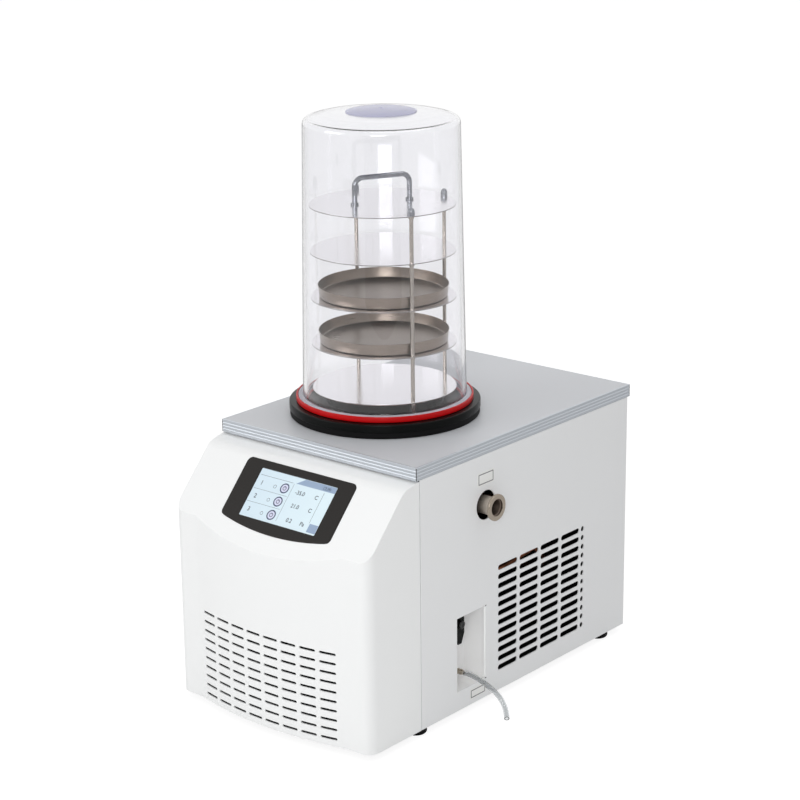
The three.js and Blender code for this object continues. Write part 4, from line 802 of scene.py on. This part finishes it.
# %% Touch screen
display, display_shader, display_place = new_material("lit_display", "#d3e0e8", 0.14, Emission_Strength=0.19)
display_split = add_node(display, "SeparateXYZ", {0: display_place})
display_fade = add_node(display, "MapRange", {0: display_split.outputs[0], 1: LEFT, 2: SIDE})
shade_between(display, display_shader, display_fade.outputs[0], "#bfd0de", "#d6e6ea")
shade_between(display, display_shader, display_fade.outputs[0], "#c3d6e6", "#dceef2", "Emission Color")
navy_ink, blue_ink, slate_ink, lilac_ink = [
    grained(f"{tone}_display_ink", colour, 0.3, 2.0, 0.001, Coat_Weight=0.3) for tone, colour in (
        ("navy", "#1c2858"), ("pale_blue", "#93a8c4"), ("slate", "#3a4450"), ("lilac", "#dadcf2"))
]

glass = slab("touch_screen_glass", "Z", SCREEN, mm(1.4), mm(-5), 0, grow=-mm(0.1), edge=mm(0.15))
settle(on_slope(glass), display, "screen", "touch_screen")
INK = mm(0.05)


def ink_shape(*corners):
    """A thin flat shape of ink between places on the screen, in millimetres."""
    return prism("ink", [(mm(x), mm(y)) for x, y in corners], "Z", 0, INK)


def bar(x0, y0, x1, y1):
    """A line or a block of ink."""
    return ink_shape((x0, y0), (x1, y0), (x1, y1), (x0, y1))


def ring_of_ink(x, y, outer, inner, low=0.0):
    """A flat ring, or a disc where the inner radius is nothing."""
    profile = [(inner, low), (outer, low), (outer, low + 0.05), (inner, low + 0.05)]
    return spun("ink", profile, mm(x, y, 0), steps=32)


def sign(words, x, y, height):
    """Digits or a unit, as a flat mesh."""
    bpy.ops.object.text_add(location=(0, 0, 0))
    text = bpy.context.object
    text.data.body = words
    text.data.size = mm(height)
    text.data.offset = mm(0.12)
    text.data.extrude = INK / 2
    bpy.ops.object.convert(target="MESH")
    text = bpy.context.object
    text.data.transform(Matrix.Translation(mm(x, y, 0) + Vector((0, 0, INK / 2))))
    return text


def inked(name, shapes, ink):
    """Joins shapes of one colour into one piece on the screen."""
    settle(on_slope(joined(shapes, name)), ink, "screen")


ROWS = (-41.6, -63.9, -86.3)
lines = [bar(-67, -30.3, -1.7, -29.8), bar(-68, -53, -1.6, -52.6), bar(-68, -74.8, -1.6, -74.4),
         bar(0.8, -93, 1.2, -31), bar(60.6, -82, 61.1, -32.5)]
lines += [ring_of_ink(-30.8, row - 1.2, 2.8, 2.2) for row in ROWS]
inked("display_lines", lines, slate_ink)
inked("display_buttons", [ring_of_ink(-12.2, row, 8.2, 6.3) for row in ROWS]
      + [ring_of_ink(-12.2, row, 3.4, 2.4, 0.06) for row in ROWS]
      + [bar(-12.6, row + 0.2, -11.8, row + 3.9) for row in ROWS], navy_ink)
inked("display_button_faces", [ring_of_ink(-12.2, row, 6.1, 0, 0.0) for row in ROWS], lilac_ink)
tab = ink_shape((4, -29.8), (18, -20), (79.2, -20), (79.2, -29.8))
inked("display_tabs", [tab, bar(62.5, -96.5, 79.2, -83)], blue_ink)
signs = [sign(*each) for each in (
    ("1", -60, -45.5, 10), ("2", -60, -67.5, 10), ("3", -60, -89.5, 10), ("12:30", 54, -27.8, 7),
    ("-35.0", 10, -45.5, 9), ("21.0", 14, -67, 9), ("0.2", 18, -90, 9),
    ("C", 48, -45.5, 9), ("C", 48, -67, 9), ("Pa", 45, -90, 9))]
inked("display_numbers", signs, slate_ink)

# %% [markdown]
# The chamber stands on a rubber gasket and a black collar, and a red silicone ring with an L section
# seals the bell's foot. All are turned from their true sections, which gives every lip its own shadow.

# %% Gasket, collar and seal
axis_point = Vector((CHAMBER.x, CHAMBER.y, TOP))
gasket_section = [(92.5, 0.3), (146.5, 0.3), (146.5, 9.5), (92.5, 9.5)]
collar_section = [(92, 12.1), (128.3, 12.1), (128.3, 9.8), (147.2, 9.8), (147.6, 10.4),
                  *arc((145.6, 19.9), 2, 0, 90), (92, 21.9)]
seal_section = [
    (118.6, 22.2), (135.7, 22.2), *arc((135.2, 23.7), 1.5, -90, 0), *arc((135.4, 29.7), 1.3, 0, 90),
    *arc((134.6, 30.1), 0.9, 90, 180, 3), (133.7, 24.7), (118.6, 24.7),
]
gasket = spun("round_base_gasket", gasket_section, axis_point, edge=0.6)
settle(gasket, nitrile_rubber, "black_rubber", "base_gasket")
collar = spun("round_collar", collar_section, axis_point, edge=0.35, steps=128)
settle(collar, black_abs, "black_plastic", "collar")
seal = spun("red_seal_ring", seal_section, axis_point, edge=0.25, steps=128)
settle(seal, silicone, "red_silicone", "seal_ring")

# %% [markdown]
# The bell is blown acrylic with a 6 mm wall that leans in a little towards its head. Both faces are
# modelled, because a clear wall gets its bright and dark edges from the light that bends through it. The
# boss on its head is a thick lens with a cool tint, so it is a piece of its own.

# %% Bell jar
bell_base = Vector((CHAMBER.x, CHAMBER.y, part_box("bell_jar")[0].z))
outside = [
    (133.4, 0), *arc((132.1, 4.7), 1.3, 0, 90), *arc((128.2, 8.0), 2.0, 270, 180),
    *arc((108.4, 422.5), 10, 0, 76, 10), (98, 435.4), (84, 437.6), (56, 439.6), (0, 440.2),
]
inside = [(0, 436.2), (56, 435.6), (84, 433.6), (98, 431.4), *arc((108.4, 422.5), 6, 76, 0, 10), (120.2, 9),
          (121.5, 0)]
bell = spun("clear_bell_jar", inside + outside, bell_base, steps=160)
settle(bell, acrylic, "clear_acrylic", "bell_jar")
foot_top = bell_base.z + mm(6.6)
# The foot's milky outer rim is a painted highlight.
refinish(bell, ground_acrylic,
         lambda centre, normal: (centre.xy - CHAMBER.xy).length > mm(124) and centre.z < foot_top)
boss_section = [(0, 440.5), (50, 440), (53.5, 440.1), (53.2, 440.9), (46, 442.6), (30, 444.2), (3.2, 445),
                (2.6, 443.6), (0, 443.4)]
settle(spun("bell_head_boss", boss_section, bell_base), tinted_acrylic, "clear_acrylic")

# %% [markdown]
# The rack has five polished steel plates on three rods, with collars under each plate, cap nuts on top and
# a chromed handle. Two pressed trays stand on the middle plates. The plates are sheared from sheet, so
# their rims stay dull, and the rims are also darker as painted shade, for the dark outline that they show.
# Spun sections give all of them their true rims.

# %% Rack
RODS = ("front", "right", "left")
SHELF_HEIGHTS = [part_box(f"shelf_{n}")[0].z for n in (1, 2, 3, 4, 5)]
for number, low in enumerate(SHELF_HEIGHTS, 1):
    plate_section = [(0, 0), (110.65, 0), (110.65, 1.5), (0, 1.5)]
    plate = spun(f"rack_plate_{number}", plate_section, (CHAMBER.x, CHAMBER.y, low), edge=0.2)
    spots = [middle(f"rod_{rod}") for rod in RODS]
    carve(plate, joined([drill(3.3, -5, 6, (spot.x, spot.y, low), steps=24) for spot in spots]))
    settle(plate, polished_steel, "stainless", f"shelf_{number}")
    # The dull rims are darker partly as painted shade.
    refinish(plate, sheared_edge, lambda centre, normal: abs(normal.z) < 0.3)

for rod in RODS:
    spot = middle(f"rod_{rod}")
    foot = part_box(f"rod_{rod}")[0].z
    section = [(0, 0), (5, 0), (5, 4), (3, 5)]
    for low in SHELF_HEIGHTS:
        seat = (low - foot) * 1000 - 0.3
        drop = 9 if low == SHELF_HEIGHTS[0] else 3
        section += [(3, seat - drop), (4.2, seat - drop), (4.2, seat), (3, seat)]
    rod_top = (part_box(f"rod_{rod}")[1].z - foot) * 1000
    section += [(3, rod_top), (0, rod_top)]
    rack_rod = spun(f"rack_rod_{rod}", section, (spot.x, spot.y, foot), edge=0.3, steps=24)
    settle(rack_rod, drawn_steel, "stainless", f"rod_{rod}")
    nut_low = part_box(f"cap_nut_{rod}")[0].z
    nut_section = [(3.3, 0), (5.3, 0), (5.3, 5.2), *arc((0.3, 6.4), 4.6, 5, 85, 6), (0, 11.2), (0, 7.2),
                   (3.3, 7.2)]
    nut = spun(f"rack_cap_nut_{rod}", nut_section, (spot.x, spot.y, nut_low), steps=32)
    settle(nut, chromed, "chrome", f"cap_nut_{rod}")

handle_low, handle_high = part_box("rack_handle")
HANDLE_TURN = math.radians(64.1)
HANDLE_CORNER = mm(13)
across = Vector((math.cos(HANDLE_TURN), math.sin(HANDLE_TURN), 0))
half_span = mm(45)
bend_x = half_span - HANDLE_CORNER
bend_z = handle_high.z - mm(4) - HANDLE_CORNER
handle_outline = [
    (-half_span, handle_low.z), (-half_span, bend_z - mm(6)),
    *arc((-bend_x, bend_z), HANDLE_CORNER, 180, 90, 8), *arc((bend_x, bend_z), HANDLE_CORNER, 90, 0, 8),
    (half_span, bend_z - mm(6)), (half_span, handle_low.z),
]
handle_route = [Vector((CHAMBER.x, CHAMBER.y, z)) + across * u for u, z in handle_outline]


def pipe(name, route, radius, smooth=False, rings=8):
    """A round bar along a route, as a closed mesh."""
    piece = curve_piece(name, route, radius, smooth)
    piece.data.use_fill_caps = True
    piece.data.bevel_resolution = rings
    make_active(piece)
    bpy.ops.object.convert(target="MESH")
    bpy.ops.object.mode_set(mode="EDIT")
    finish_mesh(bpy.context.object, 40)
    return bpy.context.object


handle = pipe("bent_handle", handle_route, mm(4))
for u in (-half_span, half_span):
    flange_at = Vector((CHAMBER.x, CHAMBER.y, handle_low.z)) + across * u
    flange = spun("foot", [(0, 0), (6, 0), (6, 2.5), (5.5, 3), (0, 3)], flange_at, edge=0.2, steps=32)
    carve(handle, flange, "UNION")
settle(handle, chromed, "chrome", "rack_handle")

TRAY_SECTION = [(0, 0), *arc((95, 3), 3, -90, -10, 6), (99.2, 17), *arc((99.5, 17.6), 0.5, 0, 180, 6),
                (98.9, 17), *arc((94.9, 3.9), 2.4, -10, -90, 6), (0, 1)]
for number in (1, 2):
    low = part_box(f"tray_{number}")[0].z
    tray = spun(f"pressed_tray_{number}", TRAY_SECTION, (CHAMBER.x, CHAMBER.y, low), steps=128)
    settle(tray, tray_steel, "stainless", f"tray_{number}")

# %% [markdown]
# The suction port comes out through a hole in the right-hand panel. It is turned from bar: a tube, a flange
# with a conical back, and a shallow step for a vacuum hose's centring ring. Only the flange is smooth and
# bright. The tube is rougher, and its lighter tone is painted light, where it lies in the hole's shade; the
# bore's dark tone is painted shade.

# %% Suction port
port_low, port_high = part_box("suction_port")
port_face = Vector((port_high.x, (port_low.y + port_high.y) / 2, (port_low.z + port_high.z) / 2))
tube_end = (port_low.x - port_high.x) * 1000 - 2
port_section = [
    (11.75, tube_end), (14, tube_end), (14, -7.6), *arc((15, -6.8), 1, 200, 130, 3), (20.1, -3.9),
    *arc((19.7, -3.2), 0.8, -20, 0, 2), *arc((20.0, -0.5), 0.5, 0, 90, 4), (13.6, 0), (13.35, -0.25),
    (13.35, -3), (11.95, -3.6), (11.75, -4),
]
port = spun("turned_suction_port", port_section, port_face, axis="X")
carve(port, drill(90.3, -210, 0, axis_point))
settle(port, turned_steel, "stainless", "suction_port")
# Painted light on the tube behind the flange, and painted shade in the bore below.
refinish(port, pickled_steel, lambda centre, normal: port_high.x - centre.x > mm(7))
refinish(port, bore_steel, lambda centre, normal: port_high.x - centre.x > mm(1)
         and (centre.yz - port_face.yz).length < mm(13.5))

# %% [markdown]
# The valve recess is a box folded from the same coated sheet, with a rim welded behind the panel; its coat
# is a little lighter than the panels' as painted light, since the recess lies in shade. It is cut from a
# solid block, which rounds its inside corners as the press does. A strip turns the panel's rear edge in,
# with a small relief hole at each end of the bend, so that the sheet doesn't tear.

# %% Valve recess
RECESS_DEPTH = mm(43)
recess_wall = mm(1.2)
recess_back = SIDE - RECESS_DEPTH
recess_face = SIDE - SHEET - mm(0.3)
recess = slab("folded_valve_recess", "X", RECESS, mm(2.4), recess_back - recess_wall, recess_face,
              grow=recess_wall)
rim_area = (RECESS[0] - mm(8), recess_low - mm(5), recess_rear + mm(8), recess_high + mm(8))
carve(recess, slab("rim", "X", rim_area, mm(1), recess_face - recess_wall, recess_face), "UNION")
carve(recess, slab("hollow", "X", RECESS, mm(1.2), recess_back, SIDE + mm(6), edge=mm(1.1), edge_steps=3))
for shank_height in (LEVER_HEIGHT, BARB_HEIGHT):
    carve(recess, drill(5.3, -5, 5, (recess_back, valves_y, shank_height), "X", 32))
settle(recess, recess_coat, "white_enamel", "valve_recess")

bend_outline = ([(SIDE - mm(7), recess_rear - mm(0.05)), (SIDE - mm(7), recess_rear - mm(0.4))]
                + arc((SIDE - mm(2.2), recess_rear - mm(0.1)), mm(1.8), -90, 0, 8)
                + [(SIDE - mm(0.4), recess_rear - mm(0.05))])
bend = prism("recess_rear_bend", bend_outline, "Z", recess_low + mm(2.2), recess_high - mm(2.2))
settle(bend, recess_coat, "white_enamel")
# Each relief hole holds a black plug just inside the sheet, as painted shadow for the dark inside the hole.
for name, end in (("low", recess_low), ("high", recess_high)):
    shadow_plug = relief(f"recess_relief_{name}", end, SIDE - mm(0.88), SIDE - mm(0.3))
    settle(shadow_plug, nitrile_rubber, "black_rubber")

# The hose's open end is cut at a slant, and its wall is closed again between the two cut edges.
edit(hose)
hose_slant = backwards.normalized() * 0.8 + Vector((0, 0, -0.6))
hose_cut = Vector(HOSE_ROUTE[-1]) + Vector((0, 0, mm(4.8)))
bpy.ops.mesh.bisect(plane_co=hose_cut, plane_no=hose_slant, clear_outer=True)
bpy.ops.mesh.select_mode(type="EDGE")
bpy.ops.mesh.select_all(action="DESELECT")
bpy.ops.mesh.select_non_manifold(extend=False)
bpy.ops.mesh.bridge_edge_loops()
finish_mesh(hose, 40)
on_cut = lambda centre: abs((centre - hose_cut).dot(hose_slant)) < mm(0.3)
# The cut face is a flat grey, painted shade.
refinish(hose, cut_tube, lambda centre, normal: normal.dot(hose_slant) > 0.95 and on_cut(centre))
print("hose end:", len(hose.data.polygons), "faces")

# %% [markdown]
# The recess holds two nickelled brass fittings: the vent valve's body behind the lever, and lower down
# the drain's hose barb. A nut holds the moulded lever on the valve's stem, so both turn together on their
# own body.

# %% Valves
lever_low, lever_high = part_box("vent_lever")
seat = (lever_low.x - recess_back) * 1000 - 3
stem = (lever_high.x - recess_back) * 1000 + 3
tip = (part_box("drain_barb")[1].x - recess_back) * 1000
SHANK = [(0, -9), (4.7, -9), (4.7, 0.3)]
valve_section = SHANK + [
    (9.3, 0.3), (9.5, 0.6), (9.5, 7), (8, 8.2), (8, seat - 0.4), (7.5, seat), (3.5, seat), (3.5, stem - 0.4),
    (3.1, stem), (0, stem),
]
valve = spun("brass_vent_valve", valve_section, (recess_back, valves_y, LEVER_HEIGHT), axis="X", steps=48)
settle(valve, nickelled_brass, "brass", "vent_valve")


def from_pivot(aside, height):
    """A place on the lever's outline."""
    return (valves_y + mm(aside), LEVER_HEIGHT + mm(height))


lever_outline = (arc(from_pivot(8, 14), mm(3), 0, 90) + arc(from_pivot(-8, 14), mm(3), 90, 180)
                 + [from_pivot(-11, -16)] + arc(from_pivot(-3, -31), mm(2), 200, 270, 4)
                 + arc(from_pivot(3, -31), mm(2), 270, 340, 4) + [from_pivot(11, -16)])
lever = prism("moulded_vent_lever", lever_outline, "X", lever_low.x, lever_high.x)
lever_depth = (lever_high.x - lever_low.x) * 1000
carve(lever, drill(3.8, -5, lever_depth + 5, (lever_low.x, valves_y, LEVER_HEIGHT), "X", 32))
bevel_sharp(lever, mm(0.9), 3)
settle(lever, black_abs, "black_plastic", "vent_lever", body="vent_lever")
nut_section = [
    (0, 3.3), (3.6, 3.3), (3.6, 0), (6.2, 0), (6.4, 0.3), (6.4, 3.4), *arc((5.4, 3.9), 1, 0, 90, 3),
    (2.6, 4.9), (2.2, 4.2), (0, 4.2),
]
nut_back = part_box("lever_nut")[0].x
nut = spun("lever_nut_cap", nut_section, (nut_back, valves_y, LEVER_HEIGHT), axis="X", steps=32)
settle(nut, black_lacquer, "chrome", "lever_nut", body="vent_lever")
barb_section = SHANK + [
    (7.8, 0.3), (8, 0.6), (8, 6), (7.6, 6.4), (3.6, 7.2), (3.6, tip - 12), (4.6, tip - 12), (3.4, tip - 7),
    (4.6, tip - 7), (3.2, tip - 1), (2.9, tip), (1.6, tip), (1.6, tip - 8), (0, tip - 8),
]
barb = spun("brass_drain_barb", barb_section, (recess_back, valves_y, BARB_HEIGHT), axis="X", steps=48)
settle(barb, nickelled_brass, "brass", "drain_barb")

# %% [markdown]
# Four rubber feet carry the cabinet, with a rounded tread and a deep hole for the screw. One is turned
# and copied, each copy with its own mesh. At the worktop's corners the mitred trims meet in a dark joint.

# %% Feet and worktop corners
foot_spot = middle("foot_front_left")
foot_section = [(0, 4), (4, 4), (4.4, 0.2), *arc((12.5, 4.5), 4.5, -90, 0), (16.2, 9.8),
                *arc((15.3, 9.9), 0.8, 0, 90, 3), (0, 10.7)]
first_foot = spun("rubber_foot_front_left", foot_section, (foot_spot.x, foot_spot.y, 0), steps=48)
for spot in ("front_right", "rear_left", "rear_right"):
    foot = copy_of(first_foot, f"rubber_foot_{spot}", middle(f"foot_{spot}") - foot_spot)
    settle(foot, nitrile_rubber, "black_rubber", f"foot_{spot}")
settle(first_foot, nitrile_rubber, "black_rubber", "foot_front_left")

trim_low, trim_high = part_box("front_trim")
edge_right, edge_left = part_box("right_trim")[1].x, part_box("left_trim")[0].x
key_area = (edge_right - mm(0.9), FRONT - mm(0.05), edge_right + mm(0.05), FRONT + mm(0.9))
joint_low, joint_high = trim_low.z + mm(0.2), trim_high.z - mm(0.6)
first_key = slab("mitre_joint_front_right", "Z", key_area, mm(0.2), joint_low, joint_high, steps=2)
across_top = Vector((edge_left - edge_right + mm(0.85), 0, 0))
along_top = Vector((0, REAR - FRONT - mm(0.85), 0))
joints = (("front_left", across_top), ("rear_right", along_top), ("rear_left", across_top + along_top))
for spot, shift in joints:
    settle(copy_of(first_key, f"mitre_joint_{spot}", shift), black_lacquer, "aluminium")
settle(first_key, black_lacquer, "aluminium")

# %% [markdown]
# The mains inlet is a moulded module with a plug socket and a rocker switch. The rocker and its two marks
# ride on their own body, because they tilt. One domed screw is turned, given its cross recess and copied
# along the rear panel's edges.

# %% Mains inlet and rear screws
rear_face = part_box("rear_panel")[1].y
inlet_low, inlet_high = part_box("power_inlet")
inlet_x = (inlet_low.x + inlet_high.x) / 2
nose = inlet_high.y


def inlet_box(x_half, low, high, near, far, radius, name="inlet_part", **edges):
    """A rounded block of the inlet: heights are above its lower edge."""
    area = (inlet_x - mm(x_half), inlet_low.z + mm(low), inlet_x + mm(x_half), inlet_low.z + mm(high))
    return slab(name, "Y", area, mm(radius), near, far, **edges)


inlet = inlet_box(15, 0, 62, nose - mm(2.5), nose, 2.5, "mains_inlet", edge=mm(0.4))
carve(inlet, inlet_box(11.7, 3.3, 58.7, inlet_low.y, nose - mm(0.7), 1), "UNION")
carve(inlet, inlet_box(10, 7, 29, rear_face - mm(18), nose + mm(5), 3))
carve(inlet, inlet_box(9.3, 35, 57, rear_face - mm(14), nose + mm(5), 0.6))
settle(inlet, black_abs, "black_plastic", "power_inlet")
pins = []
for x, z in ((-5, 14), (5, 14), (0, 22)):
    area = (inlet_x + mm(x - 1), inlet_low.z + mm(z - 2.3), inlet_x + mm(x + 1), inlet_low.z + mm(z + 2.3))
    pins.append(slab("pin", "Y", area, mm(0.5), rear_face - mm(19), rear_face - mm(5), steps=3))
settle(joined(pins, "inlet_pins"), nickelled_brass, "chrome")

switch_low, switch_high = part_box("power_switch")
hinge = (switch_low.z + switch_high.z) / 2
half = (switch_high.z - switch_low.z) / 2
root = rear_face - mm(7)
rocker_outline = [(root, hinge - 0.45 * half), (nose - mm(1), hinge - half), (nose + mm(2.6), hinge - half),
                  (nose + mm(0.6), hinge), (nose + mm(0.6), hinge + half), (nose - mm(3), hinge + half),
                  (root, hinge + 0.45 * half)]
rocker = prism("switch_rocker", rocker_outline, "X", switch_low.x, switch_high.x)
bevel_sharp(rocker, mm(0.5), 2, 40)
settle(rocker, black_abs, "black_plastic", "power_switch", body="rocker")
off_mark = spun("mark", [(1.7, -0.1), (2.4, -0.1), (2.4, 0.12), (1.7, 0.12)],
                (inlet_x, nose + mm(0.6), hinge + half / 2), axis="Y", steps=24)
on_line = [(nose + mm(1.1), hinge - mm(2.2)), (nose + mm(2.0), hinge - mm(6.2)),
           (nose + mm(2.15), hinge - mm(6.2)), (nose + mm(1.25), hinge - mm(2.2))]
on_mark = prism("mark", on_line, "X", inlet_x - mm(0.4), inlet_x + mm(0.4))
settle(joined([off_mark, on_mark], "rocker_marks"), label_film, "label_film", body="rocker")

screw_at = Vector((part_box("rear_panel")[0].x + mm(9), rear_face, mm(24)))
screw_section = [(0, 0), (3.4, 0), (3.4, 0.5), *arc((0, -0.6), 3.2, 20, 90)]
screw = spun("rear_screw_1", screw_section, screw_at, axis="Y", steps=24)
for width, height in ((2.0, 0.35), (0.35, 2.0)):
    area = (screw_at.x - mm(width), screw_at.z - mm(height), screw_at.x + mm(width), screw_at.z + mm(height))
    carve(screw, slab("cross", "Y", area, mm(0.15), rear_face + mm(1.4), rear_face + mm(6), steps=2))
rear_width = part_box("rear_panel")[1].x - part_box("rear_panel")[0].x - mm(18)
shifts = [Vector((x, 0, z)) for x in (0, rear_width) for z in (0, mm(118), mm(236), mm(362))][1:]
for number, shift in enumerate(shifts, 2):
    settle(copy_of(screw, f"rear_screw_{number}", shift), chromed, "chrome")
settle(screw, chromed, "chrome")

# %% [markdown]
# The two label plates stay blank. Each is a thin film with a grey printed frame, made as a shape so that
# it lies on the film at any distance.

# %% Label plates
for name in ("port_label", "valve_label"):
    low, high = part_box(name)
    area = (low.y, low.z, high.y, high.z)
    film = slab(f"{name}_film", "X", area, mm(1.2), low.x, high.x - mm(0.12))
    settle(film, label_film, "label_film", name)
    border = slab(f"{name}_frame", "X", area, mm(0.8), high.x - mm(0.1), high.x, grow=-mm(2.2))
    carve(border, slab("opening", "X", area, mm(0.4), low.x - mm(2), high.x + mm(2), grow=-mm(3.7)))
    settle(border, grey_ink, "label_film")
